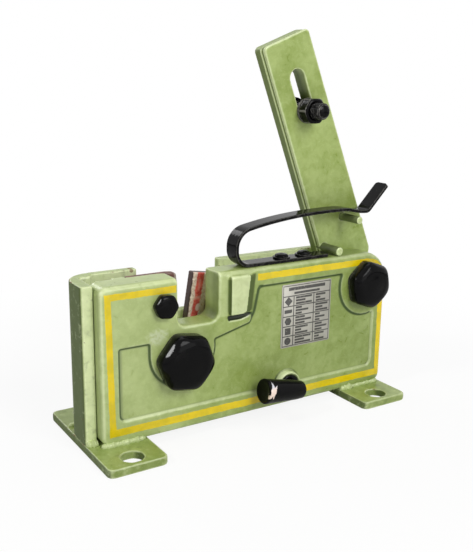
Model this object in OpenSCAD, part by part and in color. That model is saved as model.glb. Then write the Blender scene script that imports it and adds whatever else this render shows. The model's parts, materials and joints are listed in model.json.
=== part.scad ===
// Manual bar cutter: a hand lever with a toothed hub drives a toothed jaw
// that carries one shear blade past another.
// Sizes are in millimetres. Pieces are drawn from the left end, front face and
// bench, then placed with the middle of the foot holes at the origin.

/* [Body] */
// Length of the body, left end to right end
body_len = 300; // [285:1:320]
// Height of the plate and the rear wall above the bench
body_top = 137; // [134:1:150]
// Thickness of the front plate
front_t = 24; // [20:1:28]
// Depth of the space between front plate and rear wall
cavity_d = 22; // [20:0.5:26]
// Thickness of the rear wall
rear_t = 8; // [7:0.5:12]
// Thickness of the bottom wall
floor_t = 13; // [11:0.5:14]
// Thickness of the lip at the left end
lip_t = 10; // [8:0.5:14]
// Depth by which the lip comes forward past the plate's seat
lip_d = 13; // [4:0.5:14]
// Width of the plate's seat at each end
seat_w = 11; // [10:0.5:14]
// Height of the right end wall above the bench
right_wall_z = 50; // [30:1:54]
// Radius of the rear left end, seen from above
end_r = 23; // [12:1:28]
// Rounding of the front plate's front edge
edge_r = 4.5; // [2:0.5:6]
// Corner radius of the front plate
corner_r = 8; // [4:1:12]
// Gap between the lip and the front plate
lip_gap = 0.5; // [0.3:0.1:1]

/* [Feet] */
// Width of a foot along the body
foot_w = 50; // [44:1:60]
// How far a foot stands out in front and behind
foot_out = 36; // [32:1:50]
// Thickness of a foot
foot_t = 7; // [5:0.5:12]
// Diameter of a foot hole
foot_hole_d = 18; // [12:0.5:22]
// Distance of a foot hole from the body's face
foot_hole_out = 22; // [18:1:24]

/* [Cutting notch] */
// Left edge of the notch in the front plate
notch_x = 77.5; // [74:0.5:82]
// Width of the notch in the front plate
notch_w = 38; // [34:1:42]
// Height of the notch floor
notch_floor = 96.5; // [94:0.5:102]
// Corner radius of the notch floor
notch_r = 8; // [3:0.5:12]
// Left edge of the opening in the rear wall
rear_notch_x = 63; // [58:1:72]
// Width of the opening in the rear wall
rear_notch_w = 79.5; // [68:0.5:84]

/* [Pivots] */
// Main pivot, distance from the left end
main_x = 82; // [78:0.5:88]
// Main pivot, height
main_z = 68; // [64:0.5:70]
// Diameter of the main pivot bolt
main_d = 30; // [27:1:33]
// Width across flats of the main bolt
main_af = 46; // [41:1:50]
// Height of the main bolt head
main_head = 16; // [10:1:20]
// Lever pivot, distance from the right end
lever_in = 25.5; // [24:0.5:32]
// Lever pivot, height
lever_z = 108.5; // [104:0.5:112]
// Diameter of the lever pivot bolt
lever_d = 27; // [24:1:28]
// Width across flats of the lever bolt
lever_af = 41; // [36:1:46]
// Height of the lever bolt head
lever_head = 15; // [10:1:18]
// Wall of the bronze bushes
bush_t = 4; // [2.5:0.5:5]
// Radial running clearance of a bush on its bolt
run_gap = 0.05; // [0.03:0.01:0.1]
// Gap at each side of a moving plate
side_gap = 0.4; // [0.3:0.05:0.6]

/* [Drive] */
// Teeth that a full lever hub would have
hub_teeth = 15; // [14:1:16]
// Teeth that a full jaw wheel would have
jaw_teeth = 50; // [48:1:54]
// Pressure angle of the teeth
tooth_angle = 20; // [18:1:24]
// Play between the teeth, along the pitch circle
tooth_play = 0.6; // [0.4:0.1:1.2]
// Tooth height above the pitch circle, in modules
tooth_tip = 0.8; // [0.7:0.05:0.85]
// Tooth depth below the pitch circle, in modules
tooth_root = 1.05; // [1:0.05:1.25]

/* [Blades] */
// Length of the fixed blade
fixed_len = 43; // [36:1:48]
// Height of the fixed blade
fixed_h = 36.5; // [34:0.5:37]
// Thickness of the fixed blade
fixed_t = 9; // [7:0.5:10]
// How far the fixed blade's edge stands into the notch
fixed_reach = 11.5; // [8:0.5:13]
// Height of the fixed blade's top below the plate's top
fixed_drop = 1.5; // [0.5:0.5:2]
// Width of the ledge behind the fixed blade's left end
ledge_w = 12; // [6:1:14]
// Moving blade, width
blade_w = 20; // [16:1:22]
// Moving blade, height
blade_h = 44; // [38:1:46]
// Moving blade, thickness
blade_t = 8; // [6:0.5:9]
// Opening between the edges at the moving blade's lower corner
blade_open = 13.7; // [12:0.1:18]
// Height of that corner above the main pivot
blade_rise = 20; // [18:0.5:24]
// Lean of the moving blade at rest
blade_lean = 9; // [5:0.5:12]
// Gap between the shear faces
shear_gap = 0.2; // [0.1:0.05:0.3]
// Diameter of the moving blade's screws
blade_screw_d = 6; // [4:0.5:6]
// Fixed blade bolt, distance from the left end
fixed_bolt_x = 65; // [60:0.5:66.5]
// Fixed blade bolt, distance below the plate's top
fixed_bolt_drop = 20.5; // [17:0.5:24]
// Fixed blade bolt, diameter
fixed_bolt_d = 12; // [10:1:14]
// Fixed blade bolt, width across flats
fixed_bolt_af = 19; // [17:1:22]
// Fixed blade bolt, height of the head
fixed_bolt_head = 8; // [6:0.5:10]

/* [Lever] */
// Length of the lever from its pivot
lever_len = 231; // [200:1:260]
// Width of the lever at the pivot
lever_w_low = 55; // [52:1:58]
// Width of the lever at the top
lever_w_top = 49; // [42:1:54]
// Thickness of the lever
lever_t = 16; // [12:0.5:18]
// Lean of the lever to the left at rest
lever_lean = 22; // [20:0.5:24]
// Offset of the bar to the right of its pivot
lever_off = 6; // [3:0.5:7]
// Corner radius of the lever's top
lever_corner = 4; // [2:0.5:10]
// Outer radius of the lever hub
hub_r = 25; // [24:0.5:27]
// Width of the handle slot
slot_w = 15; // [13:0.5:18]
// Distance of the slot's upper end from the lever's top
slot_top = 27.5; // [18:0.5:32]
// Length of the slot
slot_len = 44.5; // [42:0.5:60]
// Distance of the latch peg from the lever pivot, along the lever
latch_peg_up = 59.7; // [56:0.1:62]
// Distance of the latch peg to the right of the lever pivot, across the lever
latch_peg_right = 12.3; // [10:0.1:14]
// How far the latch peg's tip stands in front of the strap
latch_peg_out = 5; // [1:0.5:6]
// Diameter of the latch peg
latch_peg_d = 7; // [6:0.5:9]
// Diameter of the stop peg
stop_peg_d = 8; // [6:0.5:10]
// Distance of the stop peg's middle from the lever's left edge
stop_peg_edge = 5; // [4.5:0.5:8]
// Gap under the stop peg at rest
stop_gap = 0.3; // [0.2:0.1:0.5]
// How deep the pegs sit in the lever
peg_seat = 8; // [5:0.5:11]
// How far the stop peg's tip stays behind the plate's front face
stop_peg_tip = 1; // [0:0.5:4]

/* [Handle clamp] */
// Diameter of the clamp bolt
clamp_d = 14; // [10:1:14]
// Width across flats of the clamp bolt and nut
clamp_af = 21; // [18:1:24]
// Height of the clamp nut
clamp_nut_h = 11; // [8:0.5:14]
// Height of the clamp bolt head
clamp_head = 9; // [6:0.5:10]
// Thread that stands out of the nut
clamp_out = 12; // [6:1:20]
// Thickness of a clamp washer
clamp_washer_t = 2.5; // [1.5:0.5:4]
// Diameter of a clamp washer
clamp_washer_d = 22; // [20:1:26]

/* [Latch strap] */
// Width of the strap
latch_w = 16; // [12:1:18]
// Thickness of the strap
latch_t = 3; // [2:0.5:4]
// Distance of the strap from the plate's front face
latch_in = 4; // [3:0.5:6]
// Left end of the strap's bend, from the left end of the body
latch_x = 134; // [128:1:142]
// Gap between the strap's end on the plate and the stop peg
latch_end_gap = 5.5; // [3:0.5:8]
// Bend radius where the strap leaves the plate
latch_bend_low = 13; // [10:0.5:16]
// Bend radius where the strap turns to the lever
latch_bend_up = 12; // [9:0.5:14]
// Straight stretch between the two bends
latch_rise = 6.5; // [4:0.5:10]
// Slope at which the arm leaves the bend
latch_slope = 12; // [8:1:16]
// Gap between the latch peg's path and the strap
latch_gap = 0.8; // [0.5:0.1:1.5]
// Height of the hump over the dip
latch_hump = 3.4; // [2:0.2:5]
// Distance from the hump to the dip
latch_hump_run = 29; // [24:1:34]
// Length of the finger tab
latch_tab = 30; // [20:1:36]
// Rise angle of the finger tab
latch_tab_angle = 46; // [35:1:60]
// Distance of the strap's last screw from its end on the plate
latch_screw_in = 24; // [18:1:26]
// Distance between the strap's screws
latch_screw_gap = 24; // [18:1:26]
// Diameter of the strap's screws
latch_screw_d = 8; // [6:1:8]

/* [Lock screw] */
// Lock screw, distance from the left end
lock_x = 187; // [170:1:200]
// Lock screw, height
lock_z = 26; // [24:0.5:30]
// Diameter of the lock screw
lock_d = 12; // [8:1:14]
// Diameter of its boss on the plate
lock_boss_d = 26; // [22:1:30]
// Height of its boss
lock_boss_h = 3; // [2:0.5:5]
// Distance of the handle's middle in front of the plate
lock_out = 15; // [14.5:0.5:20]
// Length of the handle, hub middle to free end
lock_len = 36; // [28:1:45]
// Handle diameter at the hub
lock_hub_d = 16; // [15:0.5:18]
// Handle diameter at the free end
lock_end_d = 22; // [18:0.5:24]
// Rise angle of the handle at rest
lock_rise = 9; // [4:1:20]

/* [Panel and lug] */
// Depth of the sunk panel
panel_d = 1.5; // [1:0.25:2.5]
// Left edge of the panel
panel_left = 25.5; // [22:0.5:30]
// Distance of the panel's right edge from the right end
panel_right = 14; // [11:0.5:18]
// Bottom edge of the panel
panel_low = 26; // [22:0.5:28]
// Distance of the panel's top edge below the plate's top
panel_drop = 16.5; // [14:0.5:20]
// Height of the panel's left shoulder
panel_step = 86.5; // [82:0.5:92]
// Radius of the raised ring under the main bolt
main_ring_r = 30; // [28:0.5:34]
// Radius of the raised ring under the lever bolt
lever_ring_r = 30; // [28:0.5:32]
// Left face of the lug, from the notch's right edge
lug_x = 9.5; // [7:0.5:12]
// Width of the lug's front, at the bottom
lug_w = 12; // [9:0.5:14]
// How much wider the lug is at the top
lug_flare = 4; // [2:0.5:6]
// How far the lug stands out
lug_out = 4; // [3:0.5:8]
// Width of the slope beside the lug
lug_slope = 15; // [10:0.5:18]
// Height of the lug
lug_h = 34; // [30:0.5:35]
// Distance of the lug's top below the plate's top
lug_drop = 3.5; // [3:0.5:5]
// Height of the slot under the lug
lug_slot_h = 4.5; // [3:0.5:6]
// Depth of the slot under the lug, from the plate's face
lug_slot_d = 3; // [2:0.5:5]
// Gap between the rating plate and the raised ring under the lever bolt
label_gap = 10; // [6:0.5:14]
// Width of the rating plate
label_w = 54.5; // [48:0.5:58]
// Gap between the rating plate and the panel's top edge
label_drop = 2.5; // [1:0.5:5]
// Height of the rating plate
label_h = 58; // [50:0.5:60]
// Thickness of the rating plate
label_t = 0.6; // [0.4:0.1:1]

/* [Body screws] */
// Diameter of the screws that hold the front plate
body_screw_d = 6; // [5:0.5:6]
// Thread length of those screws in the front plate
body_screw_in = 16; // [12:1:18]
// Left screw in the bottom wall
floor_screw_x = 70; // [60:1:90]
// Distance between the screws in the bottom wall
floor_screw_gap = 160; // [140:1:180]
// Lower screw in the left seat
end_screw_z = 40; // [34:1:46]
// Distance between the screws in the left seat
end_screw_gap = 44; // [30:1:48]

/* [Hidden] */
$fn = 64;
eps = 0.01;

// Paints and metals
green = [0.62, 0.69, 0.45];
black = [0.06, 0.06, 0.07];
steel = [0.55, 0.53, 0.50];
brown = [0.38, 0.25, 0.20];
bronze = [0.72, 0.52, 0.28];
grey = [0.72, 0.70, 0.68];

// Depths, counted from the plate's front face
body_d = front_t + cavity_d + rear_t;
rear_y = front_t + cavity_d;
move_y0 = front_t + side_gap;
jaw_y1 = rear_y - side_gap;
lever_y1 = move_y0 + lever_t;
floor_z = foot_t + floor_t;

// Pivots, front view
main_p = [main_x, main_z];
lever_p = [body_len - lever_in, lever_z];
main_r = main_d / 2;
lever_r = lever_d / 2;
bolt_gap = 0.2;
thread_gap = 0.05;
hole_spare = 2;
washer_t = 4;
washer_share = 0.92;
nut_share = 0.8;
thread_end = 3;
// Face, corners and edge of a hexagon head, as shares of its width across flats
hex_face = 0.43;
hex_corner = 0.545;
hex_edge = 0.13;
main_head_turn = 9;
main_nut_turn = 20;
lever_head_turn = 20;
lever_nut_turn = 5;
fixed_head_turn = 12;
spacer_rim = 5;

// Teeth: both wheels follow from the distance between the pivots
centre_v = lever_p - main_p;
centre_dist = norm(centre_v);
centre_a = atan2(centre_v[1], centre_v[0]);
module_mm = 2 * centre_dist / (hub_teeth + jaw_teeth);
hub_pitch_r = module_mm * hub_teeth / 2;
jaw_pitch_r = module_mm * jaw_teeth / 2;
flank_steps = 6;
teeth_cut = 5;
tooth_sink = 1;

// Blades, front view
fixed_edge = notch_x + fixed_reach;
fixed_top = body_top - fixed_drop;
blade_p = [fixed_edge + blade_open, main_z + blade_rise];
blade_y0 = front_t + fixed_t + shear_gap;
blade_y1 = blade_y0 + blade_t;
blade_lap = 4;
fixed_bolt_p = [fixed_bolt_x, body_top - fixed_bolt_drop];

// Pegs and clamp on the leaning lever; the stop peg just clears the plate's top
latch_peg_v = [latch_peg_right, latch_peg_up];
latch_peg_p = lever_p + turn(latch_peg_v, lever_lean);
latch_peg_arc = norm(latch_peg_v);
stop_peg_z = body_top + stop_gap + stop_peg_d / 2;
stop_peg_across = lever_off - lever_w_low / 2 + stop_peg_edge;
stop_peg_along = (stop_peg_z - lever_z - stop_peg_across * sin(lever_lean)) / cos(lever_lean);
stop_peg_p = lever_p + turn([stop_peg_across, stop_peg_along], lever_lean);
clamp_up = lever_len - slot_top - slot_len + slot_w / 2;
clamp_p = lever_p + turn([lever_off, clamp_up], lever_lean);

function turn(v, a) = [v[0] * cos(a) - v[1] * sin(a), v[0] * sin(a) + v[1] * cos(a)];
function polar(c, r, a) = c + r * [cos(a), sin(a)];
function arc(c, r, a0, a1, n) = [for (i = [0:n]) polar(c, r, a0 + (a1 - a0) * i / n)];
function bezier(a, b, c, d, t) = pow(1 - t, 3) * a + 3 * pow(1 - t, 2) * t * b
    + 3 * (1 - t) * t * t * c + t * t * t * d;

// Moves a piece from the drawing's corner to the shared frame
module placed() translate([-body_len / 2, -body_d / 2, 0]) children();
// Front view outline turned into a plate between two depths
module slab(y0, y1) translate([0, y1, 0]) rotate([90, 0, 0]) linear_extrude(y1 - y0) children();
// Round bar along the depth
module rod(p, y0, y1, r) translate([p[0], y0, p[1]]) rotate([-90, 0, 0]) cylinder(r = r, h = y1 - y0);
// Hexagonal bar along the depth
module hexbar(p, y0, y1, af, a = 0) translate([p[0], y0, p[1]]) rotate([-90, a, 0])
    cylinder(r = af / sqrt(3), h = y1 - y0, $fn = 6);
// Cone along the depth
module taper(p, y0, y1, r0, r1) translate([p[0], y0, p[1]]) rotate([-90, 0, 0])
    cylinder(r1 = r0, r2 = r1, h = y1 - y0);

// Hexagon between y0 and y1 with its corners turned off, tapered at the y0 end
module hex_head(p, y0, y1, af, a = 0) {
    turned = af * hex_edge;
    intersection() {
        hexbar(p, y0, y1, af, a);
        union() {
            taper(p, y0, y0 + turned, af * hex_face, af * hex_corner);
            rod(p, y0 + turned, y1, af * hex_corner);
        }
    }
}

// Hexagon nut with its bore, tapered at the y1 end
module hex_nut(p, y0, y1, af, r, a = 0) {
    turned = af * hex_edge;
    difference() {
        intersection() {
            hexbar(p, y0, y1, af, a);
            union() {
                taper(p, y1 - turned, y1, af * hex_corner, af * hex_face);
                rod(p, y0, y1 - turned, af * hex_corner);
            }
        }
        rod(p, y0 - 1, y1 + 1, r);
    }
}

module ring(p, y0, y1, r_in, r_out) difference() {
    rod(p, y0, y1, r_out);
    rod(p, y0 - 1, y1 + 1, r_in);
}

// Removes the square corner outside a radius; a turns it to the wanted corner
module corner_cut(p, r, a) translate(p) rotate(a) difference() {
    translate([-1, -1]) square(r + 1);
    translate([r, r]) circle(r);
}

// Rectangle with a radius for each corner, counted from lower left
module corner_rect(p0, p1, radii) difference() {
    translate(p0) square(p1 - p0);
    corner_cut(p0, radii[0], 0);
    corner_cut([p1[0], p0[1]], radii[1], 90);
    corner_cut(p1, radii[2], 180);
    corner_cut([p0[0], p1[1]], radii[3], 270);
}

// Notch open at the top with round lower corners
notch_over = 20;
module notch_shape(x0, x1, z0, r) corner_rect([x0, z0], [x1, body_top + notch_over], [r, r, 1, 1]);

// Outline of the front plate; the right shoulder runs round the lever pivot
plate_x = lip_t + lip_gap;
shoulder_r = min(lever_in, body_top - lever_z);
edge_turn = 22.5;
module plate_outline(inset) corner_rect([plate_x + inset, foot_t + inset],
    [body_len - inset, body_top - inset],
    [corner_r - inset / 2, corner_r - inset / 2, shoulder_r - inset, corner_r - inset / 2]);

// Field of the sunk panel, with raised rings and the land around the notch left out
lug_left = notch_x + notch_w + lug_x;
lug_foot = lug_left + lug_w + lug_slope;
ring_lift = 8;
ring_p = [main_x, main_z + ring_lift];
panel_top = body_top - panel_drop;
panel_r = 6;
panel_top_r = 4;
land_left = main_x - main_ring_r;
land_right = lug_foot + 3;
land_step = [4, 4];
land_toe = [8.5, 6.5];
land_outline = [[land_left, ring_p[1]], [land_left, body_top], [land_right, body_top],
    [land_right, panel_top - 1], [land_right - land_step[0], notch_floor + land_step[1]],
    [land_right - land_toe[0], notch_floor - land_toe[1]], polar(ring_p, main_ring_r, 10)];
module panel_field() difference() {
    corner_rect([panel_left, panel_low], [body_len - panel_right, panel_top],
        [panel_r, panel_r, panel_top_r, panel_top_r]);
    translate([0, panel_step]) square([land_left, body_top]);
    translate(ring_p) circle(main_ring_r);
    translate(lever_p) circle(lever_ring_r);
    polygon(land_outline);
}

// Screw places, front view
end_screws = [[lip_t + seat_w / 2, end_screw_z], [lip_t + seat_w / 2, end_screw_z + end_screw_gap]];
floor_mid = foot_t + floor_t / 2;
floor_screws = [[floor_screw_x, floor_mid], [floor_screw_x + floor_screw_gap, floor_mid]];
right_screw = [body_len - seat_w / 2, right_wall_z - seat_w];
body_screw_places = concat(end_screws, floor_screws, [right_screw]);
screw_head_r = body_screw_d * 0.8;
screw_head_h = body_screw_d;
screw_socket = body_screw_d * 0.75;
screw_sink = 12;
screw_sink_y = body_d - screw_sink;

// Corner radii of the casting seen from above, and the height of its left seat
lip_r = 2;
cast_r = 0.5;
seat_top = fixed_top - fixed_h;
seat_cut_d = cavity_d - end_r / 4;
module rear_casting() color(green) placed() difference() {
    translate([0, 0, foot_t]) linear_extrude(body_top - foot_t)
        corner_rect([0, front_t - lip_d], [body_len, body_d], [lip_r, cast_r, cast_r, end_r]);
    // Space for the front plate
    translate([lip_t, front_t - lip_d - 1, 0]) cube([body_len, lip_d + 1, body_top + 1]);
    // Space for the jaw and the lever
    translate([lip_t + seat_w, front_t - 1, floor_z])
        cube([body_len - lip_t - 2 * seat_w, cavity_d + 1, body_top]);
    translate([lip_t + seat_w, front_t - 1, right_wall_z])
        cube([body_len, cavity_d + 1, body_top]);
    // Open top between seat and rear wall at the left end
    translate([lip_t, front_t - 1, seat_top]) cube([seat_w + 1, seat_cut_d + 1, body_top]);
    slab(rear_y - 1, body_d + 1)
        notch_shape(rear_notch_x, rear_notch_x + rear_notch_w, notch_floor, notch_r);
    slab(front_t, body_d + 1) corner_cut([body_len, body_top], shoulder_r, 180);
    rod(main_p, rear_y - 1, body_d + 1, main_r + bolt_gap);
    rod(lever_p, rear_y - 1, body_d + 1, lever_r + bolt_gap);
    for (p = body_screw_places) {
        rod(p, front_t - 1, body_d + 1, body_screw_d / 2 + bolt_gap);
        rod(p, screw_sink_y, body_d + 1, screw_head_r + bolt_gap);
    }
}

// Lug beside the notch, its right side sloping down to the panel
lug_top = body_top - lug_drop;
module lug_outline(x1) polygon([[lug_left, lug_top - lug_h], [x1, lug_top - lug_h],
    [x1 + lug_flare, lug_top], [lug_left, lug_top]]);
module lug_slot() slab(-1, lug_slot_d) polygon([[lug_left, lug_top - lug_h], [lug_foot, lug_top - lug_h],
    [lug_left + lug_w, lug_top - lug_h - lug_slot_h], [lug_left, lug_top - lug_h - lug_slot_h]]);
module lug() hull() {
    slab(-lug_out, -lug_out + eps) lug_outline(lug_left + lug_w);
    slab(panel_d, panel_d + eps) lug_outline(lug_foot);
}

module front_plate() color(green) placed() difference() {
    union() {
        hull() for (a = [0:edge_turn:90])
            slab(edge_r * (1 - sin(a)), front_t) plate_outline(edge_r * (1 - cos(a)), $fn = 32);
        lug();
        rod(lock_p, -lock_boss_h, front_t / 2, lock_boss_d / 2);
        // Ledge that the fixed blade's left end bears on
        translate([fixed_edge - fixed_len - ledge_w, front_t - 1, seat_top])
            cube([ledge_w - bolt_gap, fixed_t + 1, fixed_h]);
    }
    difference() {
        slab(-1, panel_d) panel_field();
        rod(lock_p, -1 - eps, front_t / 2, lock_boss_d / 2 + eps);
    }
    lug_slot();
    slab(-lug_out - 1, front_t + fixed_t + 1)
        notch_shape(notch_x, notch_x + notch_w, notch_floor, notch_r);
    rod(main_p, -1, front_t + 1, main_r + bolt_gap);
    rod(lever_p, -1, front_t + 1, lever_r + bolt_gap);
    rod(fixed_bolt_p, -1, front_t + 1, fixed_bolt_d / 2 + bolt_gap);
    rod(lock_p, -lock_boss_h - 1, front_t + 1, lock_d / 2 + run_gap);
    for (p = body_screw_places)
        rod(p, front_t - body_screw_in - hole_spare, front_t + 1, body_screw_d / 2 + thread_gap);
    for (x = latch_screw_xs)
        translate([x, latch_mid_y, body_top - latch_thread - hole_spare])
            cylinder(r = latch_screw_d / 2 + thread_gap, h = latch_thread + hole_spare + 1);
}

// Foot plate with a hole in front and behind, its outer edge flush with the body's end
foot_r = 4;
module foot(x0) color(green) placed() difference() {
    translate([x0, 0, 0]) linear_extrude(foot_t)
        corner_rect([0, -foot_out], [foot_w, body_d + foot_out], [foot_r, foot_r, foot_r, foot_r]);
    for (y = [-foot_hole_out, body_d + foot_hole_out])
        translate([x0 + foot_w / 2, y, -1]) cylinder(d = foot_hole_d, h = foot_t + 2);
}
module left_foot() foot(0);
module right_foot() foot(body_len - foot_w);

module body_screws() color(black) placed() for (p = body_screw_places) difference() {
    union() {
        rod(p, front_t - body_screw_in, screw_sink_y + eps, body_screw_d / 2);
        rod(p, screw_sink_y, screw_sink_y + screw_head_h, screw_head_r);
    }
    hexbar(p, screw_sink_y + screw_head_h / 2, screw_sink_y + screw_head_h + 1, screw_socket);
}

// Bolt with its head in front of the plate and its thread past the rear nut
module pivot_bolt(p, r, af, head, a) color(black) placed() {
    hex_head(p, -head, 0, af, a);
    rod(p, -eps, body_d + washer_t + 2 * r * nut_share + thread_end, r);
}
module pivot_washer(p, r) color(steel) placed()
    ring(p, body_d, body_d + washer_t, r + bolt_gap, 2 * r * washer_share);
module pivot_nut(p, r, af, a) color(black) placed()
    hex_nut(p, body_d + washer_t, body_d + washer_t + 2 * r * nut_share, af, r + thread_gap, a);

module main_pivot_bolt() pivot_bolt(main_p, main_r, main_af, main_head, main_head_turn);
module main_pivot_washer() pivot_washer(main_p, main_r);
module main_pivot_nut() pivot_nut(main_p, main_r, main_af, main_nut_turn);
module lever_pivot_bolt() pivot_bolt(lever_p, lever_r, lever_af, lever_head, lever_head_turn);
module lever_pivot_washer() pivot_washer(lever_p, lever_r);
module lever_pivot_nut() pivot_nut(lever_p, lever_r, lever_af, lever_nut_turn);

// Distance ring between lever and rear wall
module lever_spacer() color(steel) placed()
    ring(lever_p, lever_y1 + side_gap, rear_y, lever_r + bolt_gap, lever_r + bush_t + spacer_rim);

module fixed_blade() color(brown) placed() difference() {
    translate([fixed_edge - fixed_len, front_t, seat_top]) cube([fixed_len, fixed_t, fixed_h]);
    rod(fixed_bolt_p, front_t - 1, front_t + fixed_t + 1, fixed_bolt_d / 2 + thread_gap);
}
module fixed_blade_bolt() color(black) placed() {
    hex_head(fixed_bolt_p, -fixed_bolt_head, 0, fixed_bolt_af, fixed_head_turn);
    rod(fixed_bolt_p, -eps, front_t + fixed_t - 1, fixed_bolt_d / 2);
}

label_x = lever_p[0] - lever_ring_r - label_gap - label_w;
label_z = panel_top - label_drop - label_h;
module rating_plate() color(grey) placed()
    translate([label_x, panel_d - label_t, label_z]) cube([label_w, label_t, label_h]);

// Strap's middle line, front view: along the plate's top, round the bend, over the
// lever to the hump, down to the dip over the latch peg's path and up the finger tab
strap_z = body_top + latch_t / 2;
strap_x = latch_x + latch_t / 2;
low_c = [strap_x + latch_bend_low, strap_z + latch_bend_low];
up_c = [strap_x + latch_bend_up, low_c[1] + latch_rise];
up_end = polar(up_c, latch_bend_up, 90 + latch_slope);
dip_p = [lever_p[0] + 1, lever_z + latch_peg_arc + latch_peg_d / 2 + latch_gap + latch_t / 2];
hump_p = dip_p + [-latch_hump_run, latch_hump];
kink_r = 5;
kink_c = dip_p + [0, kink_r];
kink_end = polar(kink_c, kink_r, 270 + latch_tab_angle);
tab_end = polar(kink_end, latch_tab, latch_tab_angle);
leg_end = [stop_peg_p[0] - stop_peg_d / 2 - latch_end_gap, strap_z];
arm_pull = (hump_p[0] - up_end[0]) * 0.4;
arm_flat = (hump_p[0] - up_end[0]) * 0.24;
hump_pull = latch_hump_run * 0.45;
bend_steps = 8;
arm_steps = 10;
dip_steps = 7;
split_gap = 0.3;

leg_line = concat([leg_end], arc(low_c, latch_bend_low, 270, 180, bend_steps));
arm_curve = [for (i = [1:arm_steps]) bezier(up_end, polar(up_end, arm_pull, latch_slope),
    hump_p - [arm_flat, 0], hump_p, i / arm_steps)];
dip_curve = [for (i = [1:dip_steps]) bezier(hump_p, hump_p + [hump_pull, 0],
    dip_p - [hump_pull, 0], dip_p, i / dip_steps)];
arm_line = concat([[strap_x, low_c[1] + split_gap]],
    arc(up_c, latch_bend_up, 180, 90 + latch_slope, bend_steps),
    arm_curve, dip_curve,
    arc(kink_c, kink_r, 270 + latch_tab_angle / 3, 270 + latch_tab_angle, 2), [tab_end]);

function heading(line, i) = let (v = line[min(i + 1, len(line) - 1)] - line[max(i - 1, 0)]) v / norm(v);
function beside(line, w) = [for (i = [0:len(line) - 1]) line[i] + w * turn(heading(line, i), 90)];
module strap(line) {
    left = beside(line, latch_t / 2);
    right = beside(line, -latch_t / 2);
    n = len(line);
    slab(latch_in, latch_in + latch_w)
        polygon(concat(left, [for (i = [1:n]) right[n - i]]));
}

latch_mid_y = latch_in + latch_w / 2;
latch_last_x = leg_end[0] - latch_screw_in;
latch_screw_xs = [latch_last_x - latch_screw_gap, latch_last_x];
latch_thread = 14;
latch_washer_t = 1.5;
latch_washer_r = latch_screw_d * 0.95;
latch_head_r = latch_screw_d * 0.8;
latch_head_h = latch_screw_d * 0.35;
latch_head_z = body_top + latch_t + latch_washer_t;

module latch_leg() color(black) placed() difference() {
    strap(leg_line);
    for (x = latch_screw_xs)
        translate([x, latch_mid_y, body_top - 1]) cylinder(r = latch_screw_d / 2 + bolt_gap, h = latch_t + 2);
}
module latch_arm() color(black) placed() strap(arm_line);
module latch_screws() color(black) placed() for (x = latch_screw_xs) translate([x, latch_mid_y, 0]) {
    translate([0, 0, body_top - latch_thread])
        cylinder(d = latch_screw_d, h = latch_thread + latch_t + latch_washer_t + eps);
    translate([0, 0, latch_head_z]) cylinder(r = latch_head_r, h = latch_head_h, $fn = 6);
}
module latch_washers() color(black) placed() for (x = latch_screw_xs)
    translate([x, latch_mid_y, body_top + latch_t]) difference() {
        cylinder(r = latch_washer_r, h = latch_washer_t);
        translate([0, 0, -1]) cylinder(r = latch_screw_d / 2 + bolt_gap, h = latch_washer_t + 2);
    }

// Polar angle of an involute flank at radius r; the tooth's middle is at 0
function involute(a) = tan(a) - a * PI / 180;
function flank_a(r, base, pitch_r, teeth) = 90 / teeth - tooth_play / 4 / pitch_r * 180 / PI
    + (involute(tooth_angle) - involute(acos(min(1, base / r)))) * 180 / PI;
// One tooth of a wheel about p, its middle at angle a
module tooth(p, pitch_r, teeth, a) {
    base = pitch_r * cos(tooth_angle);
    low = pitch_r - module_mm * tooth_root - tooth_sink;
    tip = pitch_r + module_mm * tooth_tip;
    start = max(base, low + tooth_sink);
    radii = concat([low], [for (i = [0:flank_steps]) start + (tip - start) * i / flank_steps]);
    angles = [for (r = radii) flank_a(max(r, base), base, pitch_r, teeth)];
    n = len(radii);
    translate(p) rotate(a) polygon(concat(
        [for (i = [0:n - 1]) polar([0, 0], radii[i], -angles[i])],
        [for (i = [1:n]) polar([0, 0], radii[n - i], angles[n - i])]));
}
// Slice of a disc between two angles
module slice(p, r, a0, a1) intersection() {
    translate(p) circle(r);
    polygon(concat([p], arc(p, 2 * r, a0, a1, 4)));
}

// At rest a tooth of the hub lies on the line of centres, in a gap of the jaw's teeth
hub_step = 360 / hub_teeth;
jaw_step = 360 / jaw_teeth;
hub_root_r = hub_pitch_r - module_mm * tooth_root;
jaw_root_r = jaw_pitch_r - module_mm * tooth_root;
hub_first = 180 + centre_a;
hub_last = hub_first + (teeth_cut - 1) * hub_step;
jaw_first = centre_a + jaw_step / 2;
jaw_last = jaw_first - (teeth_cut - 1) * jaw_step;

// Bar of the lever about its pivot, upright; it meets the hub on both sides
lever_corner_v = [lever_w_top / 2 - lever_corner, lever_len - lever_corner];
hub_shoulder = 16;
hub_lap = 1;
corner_steps = 6;
lever_bar = concat(
    [[lever_off - lever_w_low / 2, 0], [hub_r - hub_lap, 0],
        [lever_off + lever_w_low / 2, hub_shoulder]],
    arc([lever_off + lever_corner_v[0], lever_corner_v[1]], lever_corner, 0, 90, corner_steps),
    arc([lever_off - lever_corner_v[0], lever_corner_v[1]], lever_corner, 90, 180, corner_steps));
module lever_slot() translate([lever_off, lever_len - slot_top]) {
    translate([0, -slot_w / 2]) circle(d = slot_w);
    translate([0, -slot_len + slot_w / 2]) circle(d = slot_w);
    translate([-slot_w / 2, -slot_len + slot_w / 2]) square([slot_w, slot_len - slot_w]);
}
module lever_outline() {
    translate(lever_p) {
        circle(hub_r);
        rotate(lever_lean) difference() {
            polygon(lever_bar);
            lever_slot();
        }
    }
    slice(lever_p, hub_root_r, hub_first - hub_step / 4, hub_last + hub_step / 4);
    for (i = [0:teeth_cut - 1])
        tooth(lever_p, hub_pitch_r, hub_teeth, hub_first + i * hub_step);
}

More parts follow.
